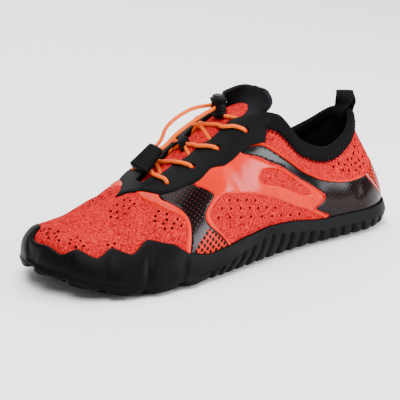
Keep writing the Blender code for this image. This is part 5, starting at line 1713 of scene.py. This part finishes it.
class WATERSHOE_OT_cords(bpy.types.Operator):
    """Run both ends of the lace through the cord lock and into the end clip"""

    bl_idname = "watershoe.cords"
    bl_label = "Cords, lock and clip"

    def execute(self, context):
        lock = self.lock()
        clip = self.clip()
        middle = lock_middle()
        t = LACING[3][1]
        narrow = Vector(place(clip_middle())) + clip_turn() @ Vector((0, 0, CLIP_LENGTH / 2 - 0.002))
        end = np.array([LENGTH / 2 - narrow.x, narrow.y, narrow.z])
        lift = 2 * CLEARANCE + LACE_DIAMETER / 2
        for name, side, rows, nodes in (
            ("cord_outer", -1, LOOP_OUTER, ("lace_loop_outer", "lace_end_outer")),
            ("cord_inner", 1, LOOP_INNER, ("lace_loop_inner", "lace_end_inner")),
        ):
            knots = [
                throat_point(t - 0.034, 0.5 + 0.44 * side, lift * 0.3),
                throat_point(t - 0.018, 0.5 + 0.31 * side, lift),
                middle + np.array([0.0, side * LOCK_WIDTH * 0.30, -LOCK_HEIGHT * 0.34]),
                middle + np.array([0.0005, side * LOOP_SPREAD, -LOCK_HEIGHT * 0.02]),
            ]
            knots += [np.array([a * LENGTH, side * LOOP_SPREAD, z * INSTEP_HEIGHT]) for a, z in rows]
            knots[4][0] = middle[0] + LOCK_DEPTH / 2 + 0.001
            knots.append(end + np.array([0, side * 0.6 * LACE_DIAMETER, 0]))
            path = world(smooth_path(knots, 0.0008))
            cord = tubes(
                name, [path], LACE_DIAMETER / 2, lace_finish(), LACE_SIDES, (0.0, 0.3, 1.0), slot="lace_cord"
            )
            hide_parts(*nodes)
        return {"FINISHED"}

    # Barrel and button of the lock, upwards: height as a share of their own, and width
    BARREL = (
        (0.0, 0.7), (0.02, 0.82), (0.06, 0.9), (0.2, 0.96), (0.3, 0.98), (0.33, 0.93), (0.36, 0.93),
        (0.39, 0.98), (0.45, 0.97), (0.48, 0.92), (0.51, 0.92), (0.54, 0.96), (0.66, 0.86), (0.72, 0.82),
        (0.8, 0.9), (0.9, 0.99), (0.96, 1.0), (0.99, 0.96), (1.0, 0.86), (1.0, 0.6),
    )
    BUTTON = (
        (-0.5, 1.0), (0.55, 1.0), (0.75, 0.98), (0.92, 0.9), (1.0, 0.74), (1.0, 0.5), (0.93, 0.42),
        (0.93, 0.1),
    )

    def lock(self):
        """Tapered barrel with a flared head, finger grooves and a round spring button."""
        middle = world(lock_middle())
        body = LOCK_HEIGHT - LOCK_BUTTON_HEIGHT
        base = middle[2] - LOCK_HEIGHT / 2

        def stack(outline, profile, foot, height):
            """The outline at each step of a profile, over the middle of the lock."""
            rings = []
            for up, wide in profile:
                x, y = middle[:2, None] + outline.T * wide
                rings.append(np.stack([x, y, np.full(len(x), foot + up * height)], 1))
            return rings

        barrel = stack(squircle(LOCK_DEPTH / 2, LOCK_WIDTH / 2), self.BARREL, base, body)
        lock = loft("cord_lock_body", barrel, plastic_finish(), node="cord_lock", slot="toggle_plastic")
        grey = Finish("button_nylon", 0.4, 0.12)
        grey.set("Base Color", (0.010, 0.010, 0.011))
        grey.bump(grey.noise(grey.object_place(), 1500.0), 0.00005, 0.4)
        radius = 0.36 * LOCK_WIDTH
        button = stack(
            squircle(radius * 0.92, radius, power=2.0), self.BUTTON, base + body, LOCK_BUTTON_HEIGHT
        )
        head = loft("cord_lock_button", button, grey.material, slot="toggle_plastic")
        head.parent = lock
        return lock

    def clip(self):
        """Flat tapered clip, flared at its open end, with ribs across."""
        origin = np.array(Vector(place(clip_middle())) + MIDDLE)
        turn = np.array(clip_turn()).T
        sections = []
        for up in np.linspace(0, 1, 60):
            cap = min(1.0, 0.86 + 0.14 * smoothstep(min(up, 1 - up) / 0.05))
            rib = 0.024 * (0.5 + 0.5 * math.cos(2 * math.pi * (up - 0.06) * 8)) * (0.06 < up < 0.95)
            half_x = CLIP_DEPTH / 2 * (cap - 0.04 + rib) * (0.92 + 0.08 * up)
            half_y = CLIP_WIDTH / 2 * (0.70 + 0.30 * up**1.2) * (cap - 0.03 + rib * 0.8)
            ring = squircle(half_x, half_y, power=4.0)
            sections.append(
                np.column_stack([ring, np.full(len(ring), (0.5 - up) * CLIP_LENGTH)]) @ turn + origin
            )
        return loft("lace_clip_body", sections, plastic_finish(), 60, node="lace_clip", slot="toggle_plastic")


# Turn of the loop's top, which hangs a little twisted
PULL_TWIST = math.radians(48)


class WATERSHOE_OT_pull(bpy.types.Operator):
    """Sew the webbing loop to the back of the collar"""

    bl_idname = "watershoe.pull"
    bl_label = "Heel pull"

    def execute(self, context):
        rows, columns = 90, 21
        ring = np.linspace(-1.5, 1.5, 61)
        across = skin(ring, 1.0)[:, 1]
        order = np.argsort(across)
        r = np.interp(np.linspace(-1, 1, 5) * PULL_WIDTH / 2, across[order], ring[order])
        length = np.linalg.norm(skin(0.0, 1.0) - skin(0.0, 0.9)) / 0.1
        foot = 1 - 0.8 * CUFF_DEPTHS[0][1] / length
        outside = np.full(r.shape, 2.2 * CLEARANCE + CUFF_THICKNESS)
        inside_cuff = np.full(r.shape, -WALL - 4 * CLEARANCE - CUFF_THICKNESS)
        rim = skin(r, 1.0)
        loop = [
            rim + (x * PULL_HEIGHT, 0, CUFF_THICKNESS + 3 * CLEARANCE + z * PULL_HEIGHT) for x, z in PULL_LOOP
        ]
        ends = [[offset_skin(r, v, offset) for v in (foot, 1.0)] for offset in (inside_cuff, outside)]
        grid = resample_both(world([*ends[0], *loop, *ends[1][::-1]]), rows, columns)
        normal = grid_normals(grid)
        grid = grid + normal * PULL_THICKNESS / 2 * (-1 if normal[rows // 2, columns // 2, 2] < 0 else 1)
        hem = world(rim).mean(0)
        turn = PULL_TWIST * smoothstep((grid[..., 2] - hem[2] + 0.001) / 0.013)
        x, y = grid[..., 0] - hem[0], grid[..., 1] - hem[1]
        grid[..., 0] = hem[0] + x * np.cos(turn) - y * np.sin(turn)
        grid[..., 1] = hem[1] + x * np.sin(turn) + y * np.cos(turn)
        spread = np.linspace(-1, 1, columns)
        uu, vv = np.meshgrid(run_of(grid[:, 10]) * 1000, spread * PULL_WIDTH * 500, indexing="ij")
        soft = 0.55 + 0.4 * smoothstep((1 - np.abs(spread)) / 0.12)
        thickness = PULL_THICKNESS * soft * np.ones((rows, 1))
        cloth = np.stack([uu, vv], -1)
        padded_sheet(
            "pull_webbing", grid, thickness, webbing_finish(), cloth, node="heel_pull", slot="black_fabric"
        )
        return {"FINISHED"}


# Stage


class WATERSHOE_OT_stage(bpy.types.Operator):
    """Set the camera, the pale floor and the soft studio lights"""

    bl_idname = "watershoe.stage"
    bl_label = "Stage"

    def execute(self, context):
        azimuth, elevation, distance = math.radians(-35.6), math.radians(16.43), 0.955
        level = math.cos(elevation)
        back = Vector((math.sin(azimuth) * level, -math.cos(azimuth) * level, math.sin(elevation)))
        target = Vector((-0.002485, 0.00374, 0.040))
        data = bpy.data.cameras.new("camera")
        data.sensor_width = 36.0
        data.lens = 129.4
        data.shift_x = -0.0255
        data.shift_y = -0.0233
        data.clip_start, data.clip_end = 0.01, 20.0
        camera = bpy.data.objects.new("camera", data)
        camera.location = target + back * distance
        camera.rotation_mode = "QUATERNION"
        camera.rotation_quaternion = (-back).to_track_quat("-Z", "Y")
        context.scene.collection.objects.link(camera)
        context.scene.camera = camera
        self.floor()
        self.light("key", (-0.50, -0.55, 1.25), 0.9, 26.0, (1.0, 0.99, 0.98))
        self.light("fill", (1.0, -0.65, 0.75), 0.7, 9.0, (0.97, 0.98, 1.0))
        self.light("top", (0.1, 0.35, 1.5), 1.4, 34.0, (1.0, 1.0, 1.0))
        self.light("back", (0.4, 1.3, 0.9), 0.9, 14.0, (1.0, 1.0, 1.0))
        self.window(camera.location)
        air = bpy.data.worlds.new("air")
        air.use_nodes = True
        air.node_tree.nodes["Background"].inputs[0].default_value = (1.0, 1.0, 1.0, 1.0)
        air.node_tree.nodes["Background"].inputs[1].default_value = 0.42
        context.scene.world = air
        return {"FINISHED"}

    def window(self, eye):
        """A small bright panel that the film behind the eyestay mirrors to the camera."""
        places = ((0.44, 0.64), (0.45, 0.64), (0.44, 0.66))
        spots = [on_upper(ring_place(-1, np.array([t])), np.array([v]), 0.0)[0] for t, v in places]
        spot, along, across = (Vector(p) for p in spots)
        normal = (along - spot).cross(across - spot).normalized()
        ray = (spot - eye).normalized()
        mirrored = ray - 2 * ray.dot(normal) * normal
        self.light("window", spot + mirrored * 0.9, 0.30, 9.0, (0.93, 0.96, 1.0), spot)

    def floor(self):
        size = 6.0
        mesh = bpy.data.meshes.new("studio_floor")
        mesh.from_pydata(
            [(-size, -size, 0), (size, -size, 0), (size, size, 0), (-size, size, 0)], [], [(0, 1, 2, 3)]
        )
        finish = Finish("pale_floor", 0.8, 0.2)
        finish.set("Base Color", (0.97, 0.97, 0.97))
        mesh.materials.append(finish.material)
        floor = bpy.data.objects.new("studio_floor", mesh)
        bpy.context.scene.collection.objects.link(floor)

    def light(self, name, location, size, power, colour, target=Vector((0.0, 0.0, 0.04))):
        data = bpy.data.lights.new(name, "AREA")
        data.shape = "SQUARE"
        data.size = size
        data.energy = power
        data.color = colour
        lamp = bpy.data.objects.new(name, data)
        lamp.location = location
        aim = target - Vector(location)
        lamp.rotation_mode = "QUATERNION"
        lamp.rotation_quaternion = aim.to_track_quat("-Z", "Y")
        bpy.context.scene.collection.objects.link(lamp)


class WATERSHOE_PT_panel(bpy.types.Panel):
    """Lists the steps that build the shoe"""

    bl_idname = "WATERSHOE_PT_panel"
    bl_label = "Water shoe"
    bl_space_type = "VIEW_3D"
    bl_region_type = "UI"
    bl_category = "Water shoe"

    def draw(self, context):
        layout = self.layout
        for group in (context.scene.water_shoe_sizes, context.scene.water_shoe_colours):
            box = layout.box()
            for name in group.bl_rna.properties.keys():
                if name not in ("rna_type", "name"):
                    box.prop(group, name)
        for step in STEPS:
            layout.operator(step.bl_idname)


STEPS = (
    WATERSHOE_OT_stage,
    WATERSHOE_OT_cords,
    WATERSHOE_OT_lacing,
    WATERSHOE_OT_upper,
    WATERSHOE_OT_films,
    WATERSHOE_OT_eyestay,
    WATERSHOE_OT_collar,
    WATERSHOE_OT_sole,
    WATERSHOE_OT_insole,
    WATERSHOE_OT_tongue,
    WATERSHOE_OT_pull,
)
CLASSES = (WaterShoeSizes, WaterShoeColours, *STEPS, WATERSHOE_PT_panel)


def register():
    for each in CLASSES:
        bpy.utils.register_class(each)
    bpy.types.Scene.water_shoe_sizes = PointerProperty(type=WaterShoeSizes)
    bpy.types.Scene.water_shoe_colours = PointerProperty(type=WaterShoeColours)


def unregister():
    del bpy.types.Scene.water_shoe_sizes
    del bpy.types.Scene.water_shoe_colours
    for each in reversed(CLASSES):
        bpy.utils.unregister_class(each)


def corners(box):
    return [[float(x) for x in corner] for corner in box]


def main():
    register()
    for step in STEPS:
        group, name = step.bl_idname.split(".")
        getattr(getattr(bpy.ops, group), name)()


if __name__ == "__main__":
    main()
